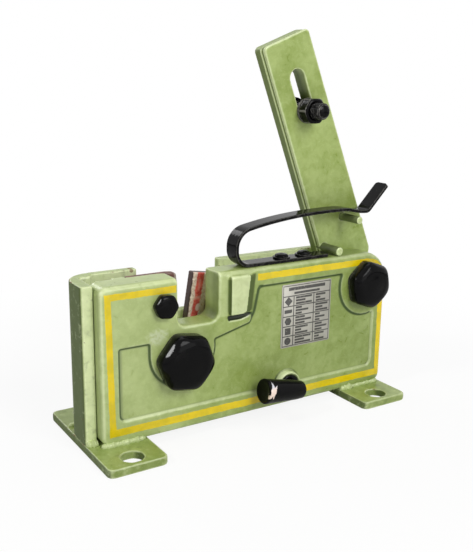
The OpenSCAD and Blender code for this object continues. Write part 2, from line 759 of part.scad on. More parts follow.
module lever() color(green) placed() difference() {
    slab(move_y0, lever_y1) lever_outline();
    rod(lever_p, move_y0 - 1, lever_y1 + 1, lever_r + bush_t + thread_gap);
    rod(latch_peg_p, move_y0 - 1, move_y0 + peg_seat, latch_peg_d / 2 + thread_gap);
    rod(stop_peg_p, move_y0 - 1, move_y0 + peg_seat, stop_peg_d / 2 + thread_gap);
}
module lever_bush() color(bronze) placed()
    ring(lever_p, move_y0, lever_y1, lever_r + run_gap, lever_r + bush_t);
module latch_peg() color(green) placed()
    rod(latch_peg_p, latch_in - latch_peg_out, move_y0 + peg_seat, latch_peg_d / 2);
module stop_peg() color(green) placed()
    rod(stop_peg_p, stop_peg_tip, move_y0 + peg_seat, stop_peg_d / 2);

// Clamp bolt for the handle tube: head behind the lever, nut and thread in front
clamp_gap = 0.1;
clamp_front = move_y0 - clamp_gap;
clamp_back = lever_y1 + clamp_gap;
clamp_hex = -lever_lean;
clamp_nut_y1 = clamp_front - clamp_washer_t;
clamp_nut_y0 = clamp_nut_y1 - clamp_nut_h;
clamp_head_y0 = clamp_back + clamp_washer_t;
clamp_head_y1 = clamp_head_y0 + clamp_head;
// Turns a piece back to front between two depths
module flipped(y0, y1) translate([0, y0 + y1, 0]) mirror([0, 1, 0]) children();
module handle_clamp_bolt() color(black) placed() {
    rod(clamp_p, clamp_nut_y0 - clamp_out, clamp_head_y0 + eps, clamp_d / 2);
    flipped(clamp_head_y0, clamp_head_y1)
        hex_head(clamp_p, clamp_head_y0, clamp_head_y1, clamp_af, clamp_hex);
}
module handle_clamp_nut() color(black) placed() flipped(clamp_nut_y0, clamp_nut_y1)
    hex_nut(clamp_p, clamp_nut_y0, clamp_nut_y1, clamp_af, clamp_d / 2 + thread_gap, clamp_hex);
module handle_clamp_washers() color(black) placed() {
    ring(clamp_p, clamp_nut_y1, clamp_front, clamp_d / 2 + bolt_gap, clamp_washer_d / 2);
    ring(clamp_p, clamp_back, clamp_head_y0, clamp_d / 2 + bolt_gap, clamp_washer_d / 2);
}

// Jaw: hub on the main pivot, web to the teeth, shoulder and rear shelf for the blade
jaw_hub_wall = 8;
jaw_hub_r = main_r + bush_t + jaw_hub_wall;
jaw_head_w = 12;
blade_seat = [for (v = [[blade_w, 0], [blade_w, blade_h]]) blade_p + turn(v, -blade_lean)];
web_r = jaw_root_r - 2;
web_low = polar(main_p, web_r, jaw_last - jaw_step / 4);
web_high = polar(main_p, web_r, jaw_first + jaw_step / 4);
module blade_shape(grow) translate(blade_p) rotate(-blade_lean) translate([-grow, -grow])
    square([blade_w + 2 * grow, blade_h + 2 * grow]);
module jaw_outline() {
    translate(main_p) circle(jaw_hub_r);
    slice(main_p, jaw_root_r, jaw_last - jaw_step / 4, jaw_first + jaw_step / 4);
    polygon([polar(main_p, jaw_hub_r - 1, 250), web_low, web_high, blade_seat[1] + [jaw_head_w, 0],
        blade_seat[1], blade_seat[0], polar(main_p, jaw_hub_r - 1, 80)]);
    for (i = [0:teeth_cut - 1])
        tooth(main_p, jaw_pitch_r, jaw_teeth, jaw_first - i * jaw_step);
}
blade_screw_in = (blade_lap + blade_w) / 2;
blade_screw_at = [for (s = [0.28, 0.72])
    blade_p + turn([blade_screw_in, blade_h * s], -blade_lean)];
blade_skin = 2;
blade_sink = blade_screw_d * 0.4;
blade_screw_end = 0.5;
blade_socket = blade_screw_d * 0.6;
blade_socket_d = 2;
module moving_jaw() color(green) placed() difference() {
    union() {
        slab(move_y0, jaw_y1) jaw_outline();
        slab(blade_y1, jaw_y1) translate(blade_p) rotate(-blade_lean) translate([blade_lap, 0])
            square([blade_w, blade_h - blade_lap]);
    }
    slab(move_y0 - 1, blade_y1) blade_shape(thread_gap);
    rod(main_p, move_y0 - 1, jaw_y1 + 1, main_r + bush_t + thread_gap);
    for (p = blade_screw_at) {
        rod(p, blade_y1 - 1, jaw_y1 + 1, blade_screw_d / 2 + bolt_gap);
        taper(p, jaw_y1 - blade_sink, jaw_y1 + eps,
            blade_screw_d / 2 + bolt_gap, blade_screw_d / 2 + blade_sink + bolt_gap);
    }
}
module jaw_bush() color(bronze) placed()
    ring(main_p, move_y0, jaw_y1, main_r + run_gap, main_r + bush_t);
module moving_blade() color(steel) placed() difference() {
    slab(blade_y0, blade_y1) blade_shape(0);
    for (p = blade_screw_at)
        rod(p, blade_y0 + blade_skin, blade_y1 + 1, blade_screw_d / 2 + thread_gap);
}
// Countersunk screws from behind, so that the blade's front stays whole
module moving_blade_screws() color(black) placed() for (p = blade_screw_at) difference() {
    union() {
        rod(p, blade_y0 + blade_skin + blade_screw_end, jaw_y1, blade_screw_d / 2);
        taper(p, jaw_y1 - blade_sink, jaw_y1, blade_screw_d / 2, blade_screw_d / 2 + blade_sink);
    }
    hexbar(p, jaw_y1 - blade_socket_d, jaw_y1 + 1, blade_socket);
}

// Lock screw through its boss, with a collar between boss and tapered handle
lock_p = [lock_x, lock_z];
collar_r = lock_boss_d / 2 - 3;
collar_y1 = -lock_boss_h - side_gap;
handle_grow = (lock_end_d - lock_hub_d) / 2 * (collar_r + lock_hub_d / 2) / (lock_len + lock_hub_d / 2);
collar_y0 = -lock_out + lock_hub_d / 2 + handle_grow + bolt_gap;
module lock_screw() color(black) placed() {
    rod(lock_p, -lock_out, front_t - 1, lock_d / 2);
    rod(lock_p, collar_y0, collar_y1, collar_r);
}
module lock_handle() color(black) placed() difference() {
    translate([lock_x, -lock_out, lock_z]) rotate([0, -90 + lock_rise, 0])
        translate([0, 0, -lock_hub_d / 2])
            cylinder(r1 = lock_hub_d / 2, r2 = lock_end_d / 2, h = lock_len + lock_hub_d / 2);
    rod(lock_p, -lock_out - 1, 1, lock_d / 2 + thread_gap);
}

rear_casting();
front_plate();
left_foot();
right_foot();
body_screws();
main_pivot_bolt();
main_pivot_washer();
main_pivot_nut();
lever_pivot_bolt();
lever_pivot_washer();
lever_pivot_nut();
lever_spacer();
fixed_blade();
fixed_blade_bolt();
rating_plate();
latch_leg();
latch_arm();
latch_screws();
latch_washers();
lever();
lever_bush();
latch_peg();
stop_peg();
handle_clamp_bolt();
handle_clamp_nut();
handle_clamp_washers();
moving_jaw();
jaw_bush();
moving_blade();
moving_blade_screws();
lock_screw();
lock_handle();
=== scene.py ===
"""Manual bar cutter: cast paint, enamel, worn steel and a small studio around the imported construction."""

import json
import math

import bmesh
import bpy
import numpy as np
from mathutils import Matrix, Vector


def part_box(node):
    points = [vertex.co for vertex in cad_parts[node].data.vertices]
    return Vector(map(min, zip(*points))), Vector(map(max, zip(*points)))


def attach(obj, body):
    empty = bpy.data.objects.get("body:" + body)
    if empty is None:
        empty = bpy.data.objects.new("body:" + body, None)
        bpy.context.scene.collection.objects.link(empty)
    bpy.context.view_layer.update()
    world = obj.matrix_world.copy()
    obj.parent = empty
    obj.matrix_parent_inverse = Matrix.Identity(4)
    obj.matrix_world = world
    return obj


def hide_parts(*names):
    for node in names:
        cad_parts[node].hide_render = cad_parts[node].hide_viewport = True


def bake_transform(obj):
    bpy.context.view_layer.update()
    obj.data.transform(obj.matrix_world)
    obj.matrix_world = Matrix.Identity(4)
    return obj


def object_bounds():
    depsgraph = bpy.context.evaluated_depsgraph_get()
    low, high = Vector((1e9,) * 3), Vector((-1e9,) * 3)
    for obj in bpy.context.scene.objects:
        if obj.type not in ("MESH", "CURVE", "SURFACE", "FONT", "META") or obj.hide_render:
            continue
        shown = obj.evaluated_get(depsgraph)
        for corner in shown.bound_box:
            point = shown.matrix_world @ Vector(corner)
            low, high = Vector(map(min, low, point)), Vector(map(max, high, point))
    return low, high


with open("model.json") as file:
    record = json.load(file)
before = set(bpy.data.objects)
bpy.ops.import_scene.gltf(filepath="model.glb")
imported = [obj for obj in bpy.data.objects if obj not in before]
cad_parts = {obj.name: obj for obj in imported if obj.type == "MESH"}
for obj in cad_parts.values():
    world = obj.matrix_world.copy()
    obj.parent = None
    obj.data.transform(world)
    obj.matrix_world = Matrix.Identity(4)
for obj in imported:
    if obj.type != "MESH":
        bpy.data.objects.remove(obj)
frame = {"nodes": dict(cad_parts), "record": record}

bl_info = {
    "name": "Manual Bar Cutter",
    "version": (1, 0, 0),
    "blender": (4, 5, 0),
    "location": "3D View > Sidebar > Bar Cutter",
    "description": "Dresses the construction of a manual bar cutter in cast, enamelled and worn finishes",
    "category": "Object",
}

MM = 0.001
CAD_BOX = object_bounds()
CAST_LOW, CAST_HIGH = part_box("rear_casting")
# The drawing counts from the body's left end, the plate's front face and the bench.
CORNER = Vector((CAST_LOW.x, -CAST_HIGH.y, 0.0))
JOINT_PLACE = {
    joint["name"]: Vector(joint["pos_m"])
    for joint in frame["record"]["behaviour"]["joints"]
    if "pos_m" in joint
}
MAIN_PIVOT = JOINT_PLACE["jaw_swing"]
LEVER_PIVOT = JOINT_PLACE["lever_swing"]
LOCK_PLACE = JOINT_PLACE["lock_turn"]
BODY_DEPTH = 2 * CAST_HIGH.y / MM
# Points around a turned piece.
SIDES = 96
# Power that eases the corners of a hexagon, and their reach as a share of the size across flats.
CORNER_EASE = 40
TURNED_CORNER = 0.543
# Room between a bolt and its washer, in millimetres.
WASHER_PLAY = 0.2
# Corners of a mesh beyond this angle stay sharp.
HARD_CORNER = math.radians(52)
# Share of the way to its neighbours that a point goes in one pass of smoothing.
SMOOTHING = 0.6
# Specular level of black enamel.
ENAMEL_GLOSS = 0.10


def at(x, y, z):
    """A place in the frame, from millimetres counted in the drawing."""
    return CORNER + Vector((x, y, z)) * MM


def drawn(points):
    """Points of the frame in the drawing's millimetres."""
    return (np.array(points) - np.array(CORNER)) / MM


def drawn_box(node):
    """Both corners of a node's box, in the drawing's millimetres."""
    return [drawn(corner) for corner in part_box(node)]


def on_face(place):
    """The spot in the plane of the plate's front face where an axis through a place meets it."""
    return Vector((place.x, CORNER.y, place.z))


def axis_of(node):
    """The same for the axis of a round node."""
    x, _, z = sum(drawn_box(node)) / 2
    return at(x, 0, z)


def span(values, low, high):
    """Where values lie between two limits."""
    return (values > low) & (values < high)


# How far the lever, the moving blade and the lock handle lean at rest, and where the last two start.
LEVER_LEAN = math.radians(22.0)
BLADE_LEAN = math.radians(9.0)
BLADE_FOOT = at(102.7, 33.2, 88.0)
HANDLE_RISE = math.radians(9.0)
HANDLE_HUB = on_face(LOCK_PLACE) + Vector((0, -15.0 * MM, 0))
HANDLE_AXIS = Vector((-math.cos(HANDLE_RISE), 0, math.sin(HANDLE_RISE)))


def linear(colour):
    """A display colour as the linear RGBA that a shader takes."""
    parts = [c / 12.92 if c <= 0.04045 else ((c + 0.055) / 1.055) ** 2.4 for c in colour]
    return (*parts, 1.0)


class CutterColours(bpy.types.PropertyGroup):
    """Paints and metals, as they look on a display."""

    def colour(name, description, default):
        return bpy.props.FloatVectorProperty(
            name=name, description=description, default=default, subtype="COLOR_GAMMA", min=0, max=1
        )

    green: colour("Green", "Paint of the castings", (0.585, 0.665, 0.315))
    # Pale green for rubbed paint and for painted highlights.
    green_worn: colour("Worn green", "Paint where it is rubbed on edges", (0.89, 0.93, 0.73))
    # Dark green for dirt and for painted shade.
    green_deep: colour("Deep green", "Paint in the corners where dirt stays", (0.27, 0.33, 0.11))
    stripe: colour("Stripe", "Hand-painted line around the front plate", (0.91, 0.80, 0.05))
    stripe_deep: colour("Deep stripe", "Thick places of the painted line", (0.80, 0.72, 0.09))
    enamel: colour("Enamel", "Thick black paint on bolts and strap", (0.025, 0.025, 0.027))
    # Grey on black enamel for rubbed edges and for painted highlights on edges.
    rubbed: colour("Rubbed enamel", "Black paint where it is rubbed grey", (0.56, 0.55, 0.53))
    steel: colour("Steel", "Bare steel where paint is gone", (0.74, 0.69, 0.65))
    maroon: colour("Maroon", "Red-brown coat of the blades", (0.30, 0.17, 0.14))
    streak: colour("Streak", "Red paint left on the moving blade", (1.0, 0.40, 0.36))
    plate: colour("Chart plate", "Sheet of the rating plate", (0.72, 0.71, 0.67))
    ink: colour("Ink", "Print of the rating plate", (0.12, 0.12, 0.12))
    rust: colour("Rust", "Rust where the paint is chipped", (0.42, 0.20, 0.10))


class CutterSizes(bpy.types.PropertyGroup):
    """Sizes of the finish that the drawing leaves open."""

    def length(name, description, default):
        return bpy.props.FloatProperty(
            name=name, description=description, default=default, min=0.0001, precision=5, unit="LENGTH"
        )

    plate_grain: length("Plate grain", "Spacing of the front plate's points", 0.8 * MM)
    cast_grain: length("Casting grain", "Spacing of the other castings' points", 1.0 * MM)
    fine_grain: length("Fine grain", "Spacing of the blades' points", 0.5 * MM)
    stripe_width: length("Stripe width", "Width of the painted line", 5.9 * MM)
    weld_radius: length("Weld radius", "Radius of the weld beads at the feet", 2.4 * MM)
    strap_edge: length("Strap edge", "Rounding of the strap's long edges", 0.8 * MM)
    parting_depth: length("Parting depth", "Depth of the parting line on the lever's edge", 1.1 * MM)


class CutterStudio(bpy.types.PropertyGroup):
    """Lamps and camera."""

    def power(name, description, default):
        return bpy.props.FloatProperty(
            name=name, description=description, default=default, min=0, unit="POWER"
        )

    def angle(name, description, degrees):
        return bpy.props.FloatProperty(
            name=name, description=description, default=math.radians(degrees), subtype="ANGLE"
        )

    key_power: power("Key lamp", "Wide soft lamp in front", 16.0)
    fill_power: power("Fill lamp", "Wide soft lamp, low in front", 2.5)
    top_power: power("Top lamp", "Wide soft lamp above", 7.0)
    rim_power: power("Rim lamp", "Soft lamp, high behind", 4.0)
    spark_power: power("Spark lamp", "Small bright lamp, high on the left", 8.0)
    surround: bpy.props.FloatProperty(
        name="Surround", description="Light from all around", default=0.16, min=0, max=1, subtype="FACTOR"
    )
    lens: bpy.props.FloatProperty(
        name="Lens", description="Focal length of the camera", default=50.6, min=10, unit="CAMERA"
    )
    yaw: angle("Yaw", "Turn of the view to the right", 32.69)
    pitch: angle("Pitch", "Tilt of the view downwards", 14.0)
    roll: angle("Roll", "Turn of the view about its axis", 0.9)
    place: bpy.props.FloatVectorProperty(
        name="Camera", description="Place of the camera", default=(-0.35445, -0.55122, 0.28791),
        subtype="TRANSLATION", unit="LENGTH"
    )


class Signal:
    """A socket of a finish; Python's operators on it add Math nodes."""

    def __init__(self, finish, socket):
        self.finish = finish
        self.socket = socket

    def maths(self, operation, *values):
        return self.finish.node("ShaderNodeMath", {"operation": operation}, dict(enumerate(values)))

    def __add__(self, other):
        return self.maths("ADD", self, other)

    __radd__ = __add__

    def __sub__(self, other):
        return self.maths("SUBTRACT", self, other)

    def __rsub__(self, other):
        return self.maths("SUBTRACT", other, self)

    def __mul__(self, other):
        return self.maths("MULTIPLY", self, other)

    __rmul__ = __mul__

    def __truediv__(self, other):
        return self.maths("DIVIDE", self, other)

    def __pow__(self, other):
        return self.maths("POWER", self, other)

    def __abs__(self):
        return self.maths("ABSOLUTE", self)

    def most(self, other):
        """The larger of two values."""
        return self.maths("MAXIMUM", self, other)

    def least(self, other):
        """The smaller of two values."""
        return self.maths("MINIMUM", self, other)

    def rise(self, low, high):
        """0 up to low, 1 from high on, smooth between them."""
        return self.finish.node(
            "ShaderNodeMapRange", {"interpolation_type": "SMOOTHSTEP"},
            {"Value": self, "From Min": low, "From Max": high},
        )

    def fall(self, low, high):
        """1 up to low, 0 from high on, smooth between them."""
        return 1 - self.rise(low, high)

    def near(self, middle, half, soft):
        """1 within half of a middle, with soft borders."""
        return abs(self - middle).fall(half, half + soft)

    def within(self, low, high, soft):
        """1 between two values, with soft borders."""
        return self.rise(low, low + soft) * self.fall(high - soft, high)


class Finish:
    """A node tree under construction."""

    def __init__(self, tree):
        self.tree = tree
        tree.nodes.clear()

    def node(self, kind, settings, sockets, output=0):
        """Adds a node, sets it, fills its sockets and gives one of its outputs."""
        made = self.tree.nodes.new(kind)
        for key, value in settings.items():
            setattr(made, key, value)
        for key, value in sockets.items():
            if isinstance(value, Signal):
                self.tree.links.new(value.socket, made.inputs[key])
            else:
                made.inputs[key].default_value = value
        return Signal(self, made.outputs[output]) if len(made.outputs) else None

    def spot(self):
        """A point's own place on its object."""
        return self.node("ShaderNodeTexCoord", {}, {}, "Object")

    def place(self):
        """The drawing's x, y and z of a point, in millimetres."""
        spot = self.node(
            "ShaderNodeVectorMath", {"operation": "SUBTRACT"}, {0: self.spot(), 1: tuple(CORNER)}
        )
        return [
            self.node("ShaderNodeSeparateXYZ", {}, {0: spot}, axis) * (1 / MM) for axis in ("X", "Y", "Z")
        ]

    def noise(self, size, detail=2.0, roughness=0.5, distortion=0.0):
        """Cloudy values from 0 to 1, with features of a size in millimetres."""
        return self.node(
            "ShaderNodeTexNoise", {},
            {"Vector": self.spot(), "Scale": 1 / (size * MM), "Detail": detail, "Roughness": roughness,
             "Distortion": distortion},
        )

    def mark(self, name):
        """A value kept on the points of the mesh."""
        return self.node("ShaderNodeAttribute", {"attribute_name": name}, {}, "Fac")

    def mix(self, share, first, second):
        """A colour between two, by a share from 0 to 1."""
        return self.node(
            "ShaderNodeMix", {"data_type": "RGBA"}, {0: share, 6: first, 7: second}, 2
        )

    def bump(self, height, depth, under=None):
        """Surface relief from a height of 0 to 1 and a depth in millimetres."""
        sockets = {"Height": height, "Distance": depth * MM, "Strength": 1.0}
        if under is not None:
            sockets["Normal"] = under
        return self.node("ShaderNodeBump", {}, sockets)

    def surface(self, sockets):
        """Ends a material with one principled surface."""
        shader = self.node("ShaderNodeBsdfPrincipled", {}, sockets)
        self.node("ShaderNodeOutputMaterial", {}, {"Surface": shader})


def new_finish(name):
    """A material and its empty tree."""
    material = bpy.data.materials.new(name)
    material.use_nodes = True
    return material, Finish(material.node_tree)


def finish_of(maker):
    """The material that a maker paints, under the maker's name, made on first use."""
    name = maker.__name__.replace("_", " ")
    if name not in bpy.data.materials:
        maker(new_finish(name)[1])
    return bpy.data.materials[name]


def colours():
    """The user's colours, by name, as linear RGBA."""
    kept = bpy.context.scene.cutter_colours
    return {key: linear(getattr(kept, key)) for key in kept.__annotations__}


def green_coat(finish):
    """Colour, roughness and relief of green paint over a cast skin, with painted shade in creases and where
    the shade mark is above 0, and painted highlights where it is below 0 and, partly, on sharp edges.
    """
    tint = colours()
    edge = finish.mark("edge")
    cloud = finish.noise(38, detail=3)
    speck = finish.noise(1.1, detail=3, roughness=0.6)
    brush = finish.noise(7, detail=4, distortion=0.6)
    lighter = finish.mix(0.20, tint["green"], tint["green_worn"])
    darker = finish.mix(0.24, tint["green"], tint["green_deep"])
    colour = finish.mix((cloud * 0.6 + brush * 0.4).rise(0.32, 0.68), darker, lighter)
    colour = finish.mix(speck.rise(0.55, 0.80) * 0.22, colour, tint["green_worn"])
    # Paler paint on sharp edges, partly wear and partly a painted highlight along rounded edges.
    rubbed = (edge + (brush - 0.5) * 0.35).rise(0.16, 0.62)
    colour = finish.mix(rubbed * 0.55, colour, tint["green_worn"])
    # Painted shade in concave creases.
    crease_shade = (0 - edge + (brush - 0.5) * 0.25).rise(0.10, 0.60)
    colour = finish.mix(crease_shade * 0.75, colour, tint["green_deep"])
    # Painted shade where the shade mark is above 0, painted highlight where it is below 0.
    tone = finish.mark("shade")
    shaded = tone.most(0)
    colour = finish.mix(shaded, colour, tint["green_deep"])
    paled = ((0 - tone).most(0) * (0.65 + brush * 0.7)).least(1)
    colour = finish.mix(paled, colour, tint["green_worn"])
    rough = 0.30 + (brush - 0.5) * 0.14 - rubbed * 0.06 + (crease_shade + shaded).least(1) * 0.3
    relief = finish.bump(finish.noise(16, detail=2), 0.35)
    relief = finish.bump(speck, 0.06, relief)
    return colour, rough, relief


def green_paint(finish):
    """Plain green paint."""
    colour, rough, relief = green_coat(finish)
    finish.surface({"Base Color": colour, "Roughness": rough, "Normal": relief})


def striped_paint(finish):
    """Green paint with the yellow line that runs around the front plate."""
    tint = colours()
    colour, rough, relief = green_coat(finish)
    x, y, z = finish.place()
    # Painted light: the plate is painted lighter on its left and darker on its right, as light falling off
    # across it.
    colour = finish.mix(x.fall(20, 130) * 0.22, colour, tint["green_worn"])
    colour = finish.mix(x.rise(90, 240) * 0.18, colour, tint["green_deep"])
    low, high = drawn_box("front_plate")
    # Middle of the line, inset from the plate's outline, with a wide bend at its upper right corner.
    left, right, bottom, top = low[0] + 6.5, high[0] - 4.4, low[2] + 10.8, high[2] - 8.0
    middle = ((left + right) / 2, (bottom + top) / 2)
    half = ((right - left) / 2, (top - bottom) / 2)
    shoulder = (x - middle[0]).rise(0, 1) * (z - middle[1]).rise(0, 1)
    bend = 1.5 + shoulder * 19.5
    lean = (top - z) * x.fall(20, 60) * (2.3 / (top - bottom))
    over_x = abs(x - lean - middle[0]) - half[0] + bend
    over_z = abs(z - middle[1]) - half[1] + bend
    square = over_x.most(over_z).most(0)
    outside = square + shoulder * ((over_x.most(0) ** 2 + over_z.most(0) ** 2) ** 0.5 - square)
    inside = over_x.most(over_z).least(0)
    wander = (finish.noise(26, detail=2) - 0.5) * 1.6 + (finish.noise(2.5, detail=2) - 0.5) * 0.9
    width = bpy.context.scene.cutter_sizes.stripe_width / MM
    above = z.rise(bottom + 1, bottom + 8)
    width = width + (x.rise(280, 290) * 2.2 - x.fall(60, 75) * 0.6) * above + (1 - above) * 0.5
    line = (outside + inside - bend + wander).near(0, width / 2 - 0.3, 0.6)
    notch_gap = x.within(75.5, 154.0, 0.8)
    front = y.fall(5.5, 7.5) * y.rise(-1.2, -0.6)
    line = line * (1 - notch_gap * z.rise(100, 101)) * front
    thin = finish.noise(9, detail=3).rise(0.62, 0.78)
    thick = finish.noise(11, detail=3).rise(0.42, 0.66)
    yellow = finish.mix(thick * 0.6, tint["stripe"], tint["stripe_deep"])
    colour = finish.mix(line * (1 - thin * 0.35), colour, yellow)
    rough = rough - line * 0.10
    # A scuffed patch beside the notch, painted shade along the sunk panel's walls and a painted shadow in
    # the slot under the lug.
    scuff = finish.noise(5, detail=4, distortion=1.2)
    patch = (((x - 59.0) / 9.0) ** 2 + ((z - 91.5) / 7.0) ** 2 + (scuff - 0.5) * 3.4).fall(-0.6, 1.5)
    colour = finish.mix(patch * 0.45, colour, linear((0.90, 0.92, 0.83)))
    # Painted shade: a crisp dark line where the shade mark lies on the panel's walls.
    sunk = (finish.mark("shade") * 3).least(1).most(0) * y.within(0.10, 1.40, 0.25)
    sunk = sunk * x.within(20, 292, 1) * z.within(18, 128, 1) * (1 - x.within(66, 125, 1) * z.rise(93, 94))
    colour = finish.mix(sunk * 0.85, colour, linear((0.20, 0.29, 0.10)))
    # Painted shadow: near black in the slot under the lug.
    slot_shadow = x.within(124.5, 149.5, 0.4) * z.within(93.5, 100.0, 0.4) * y.rise(0.3, 0.7)
    colour = finish.mix(slot_shadow * 0.9, colour, linear((0.09, 0.11, 0.06)))
    finish.surface({"Base Color": colour, "Roughness": rough, "Normal": relief})


def chipped_paint(finish):
    """Green paint with rust at chips, for the rear casting and the feet."""
    tint = colours()
    colour, rough, relief = green_coat(finish)
    x, y, z = finish.place()
    blotch = finish.noise(8, detail=5, roughness=0.65)
    colour = finish.mix(blotch.rise(0.52, 0.70) * 0.30, colour, tint["green_deep"])
    colour = finish.mix(blotch.fall(0.30, 0.46) * 0.25, colour, tint["green_worn"])
    chip = (finish.noise(14, detail=5, roughness=0.62) + finish.mark("edge") * 0.16).rise(0.71, 0.75)
    spot = ((x - 58.3) ** 2 + (z - 136.0) ** 2) ** 0.5 + (blotch - 0.5) * 2
    chip = chip.most(spot.fall(1.2, 2.0) * y.rise(40, 41))
    colour = finish.mix(chip * 0.7, colour, tint["rust"])
    finish.surface({"Base Color": colour, "Roughness": rough + chip * 0.3, "Normal": relief})


def black_enamel(finish, wear=0.2):
    """Thick black enamel, grey on sharp edges, partly rubbed and partly a painted highlight."""
    tint = colours()
    edge = finish.mark("edge")
    peel = finish.noise(3.2, detail=2)
    dust = finish.noise(9, detail=4)
    fray = finish.noise(2.2, detail=3)
    # Grey on sharp edges: partly wear, partly a painted highlight.
    rubbed = (edge + (dust - 0.5) * 0.7 + (fray - 0.5) * 1.4).rise(0.45, 1.05)
    colour = finish.mix(dust.rise(0.50, 0.90) * 0.05, tint["enamel"], linear((0.30, 0.29, 0.28)))
    colour = finish.mix(rubbed * wear, colour, tint["rubbed"])
    finish.surface(
        {"Base Color": colour, "Roughness": 0.06 + dust * 0.09, "Normal": finish.bump(peel, 0.10),
         "Specular IOR Level": ENAMEL_GLOSS}
    )


def worn_and_sheen_enamel(finish):
    """Black enamel with strong grey on its edges, partly rubbed by a spanner and partly a painted sheen, for
    the clamp.
    """
    black_enamel(finish, wear=0.6)


def handle_enamel(finish):
    """Black enamel of the lock handle, with a star-shaped painted highlight near its free end, coloured like
    bare metal.
    """
    tint = colours()
    x, y, z = finish.place()
    dust = finish.noise(8, detail=4)
    tear = finish.noise(3.0, detail=4, roughness=0.6, distortion=0.8)
    spot = drawn(HANDLE_HUB + HANDLE_AXIS * 32.0 * MM)
    along = x - spot[0]
    above = z - spot[2] - 3.0

    def arm(angle, length, width):
        """Above 0 in an arm of the star of painted highlight, which tapers from the middle to its tip."""
        turn = math.radians(angle)
        run = along * math.cos(turn) + above * math.sin(turn)
        aside = above * math.cos(turn) - along * math.sin(turn)
        return 1 - run / length - abs(aside) / width + run.least(0) * 3

    star = 1 - (along ** 2 + above ** 2) ** 0.5 / 3.0
    # Angle, length and half width of the arms.
    for sizes in ((33, 6.6, 3.0), (82, 8.2, 2.7), (232, 9.5, 2.8), (266, 7.4, 2.6)):
        star = star.most(arm(*sizes))
    rim = y.fall(spot[1] - 8.5, spot[1] - 7.5).most(along.rise(-2.2, -1.6))
    shown = y.fall(spot[1] - 3, spot[1] - 2) * rim
    # Painted highlight: the star is coloured as pale, slightly metallic steel.
    bare_and_lit = (star + (tear - 0.5) * 0.7).rise(0.0, 0.15) * shown
    colour = finish.mix(dust.rise(0.50, 0.90) * 0.06, tint["enamel"], linear((0.26, 0.25, 0.24)))
    glint_colour = finish.mix(above.rise(1.0, 4.0), linear((0.95, 0.87, 0.82)), linear((0.84, 0.84, 0.87)))
    colour = finish.mix(bare_and_lit, colour, glint_colour)
    finish.surface(
        {"Base Color": colour, "Roughness": 0.12 + dust * 0.14 + bare_and_lit * 0.2, "Metallic": bare_and_lit * 0.3,
         "Normal": finish.bump(finish.noise(3.0, detail=2), 0.10), "Specular IOR Level": ENAMEL_GLOSS}
    )


def fixed_blade_steel(finish):
    """Red-brown coat of the fixed blade, ground bright along its shear edge."""
    tint = colours()
    x, _, _ = finish.place()
    edge = finish.mark("edge")
    cloud = finish.noise(6, detail=4, distortion=0.8)
    shear = drawn_box("fixed_blade")[1][0]
    ground = (x + (cloud - 0.5) * 3.0).rise(shear - 3.5, shear - 1.0)
    colour = finish.mix(cloud.rise(0.3, 0.75), tint["maroon"], linear((0.46, 0.29, 0.23)))
    worn = (ground + (edge + (cloud - 0.5) * 0.5).rise(0.2, 0.7) * 0.4).least(1)
    colour = finish.mix(worn * 0.85, colour, tint["steel"])
    finish.surface(
        {"Base Color": colour, "Roughness": 0.55 - worn * 0.2, "Metallic": 0.15 + worn * 0.6,
         "Normal": finish.bump(finish.noise(0.9, detail=3), 0.05)}
    )


def moving_blade_steel(finish):
    """Worn face of the moving blade with a streak of red paint between maroon sides, with painted highlights
    on the face and painted shade on the sides.
    """
    tint = colours()
    x, y, z = finish.place()
    foot = drawn(BLADE_FOOT)
    across = (x - foot[0]) * math.cos(BLADE_LEAN) - (z - foot[2]) * math.sin(BLADE_LEAN)
    cloud = finish.noise(5, detail=4, distortion=1.0)
    scratch = finish.noise(1.4, detail=3)
    wander = (cloud - 0.5) * 5.0
    face = y.fall(foot[1] + 0.5, foot[1] + 1.1)
    bare_and_lit = (across + wander * 0.5).within(0.2, 16.5, 1.2) * face
    rise = z - foot[2]
    along = across - rise * 0.02
    red = (along + wander * 0.8).near(7.2, 2.6, 1.4) * face
    # Maroon darkened towards near black: partly the coat, partly painted shade on the blade's side faces.
    colour = finish.mix(0.5 + cloud.rise(0.35, 0.75) * 0.4, tint["maroon"], linear((0.15, 0.08, 0.06)))
    # Pale bare steel, lifted to make up for the shade in the notch: partly painted light.
    pale = finish.mix(scratch.rise(0.35, 0.70), linear((1.0, 0.93, 0.87)), linear((0.88, 0.76, 0.68)))
    colour = finish.mix(bare_and_lit, colour, pale)
    blotch = finish.noise(9, detail=2, distortion=0.8)
    paint = finish.mix(blotch.rise(0.40, 0.62), linear((0.84, 0.20, 0.17)), tint["streak"])
    # Painted highlight: a pink-white line along the upper part of the streak.
    gleam = along.near(7.4, 0.4, 0.9) * rise.within(25.0, 38.0, 3.0)
    paint = finish.mix(gleam * 0.8, paint, linear((1.0, 0.58, 0.54)))
    worn = rise.within(18.0, 23.0, 3.0) * 0.45
    colour = finish.mix(red * (0.75 + scratch * 0.3) * (1 - worn), colour, paint)
    # Painted highlight: a pale spot low on the face.
    patch = ((across - 9.4) / 2.2) ** 2 + ((rise - 12.0) / 3.2) ** 2 + (blotch - 0.5) * 2.0
    colour = finish.mix(patch.fall(0.4, 1.3) * face * 0.85, colour, linear((1.0, 0.92, 0.87)))
    finish.surface(
        {"Base Color": colour, "Roughness": 0.50 - bare_and_lit * 0.12, "Metallic": bare_and_lit * 0.1,
         "Normal": finish.bump(scratch, 0.06)}
    )


def bare_steel(finish):
    """Steel with fine turning marks."""
    cloud = finish.noise(6, detail=3)
    groove = finish.noise(0.6, detail=2)
    tone = finish.mix(cloud.rise(0.4, 0.8) * 0.35, colours()["steel"], linear((0.30, 0.27, 0.22)))
    finish.surface(
        {"Base Color": tone, "Roughness": 0.30 + cloud * 0.2, "Metallic": 0.9,
         "Normal": finish.bump(groove, 0.03)}
    )


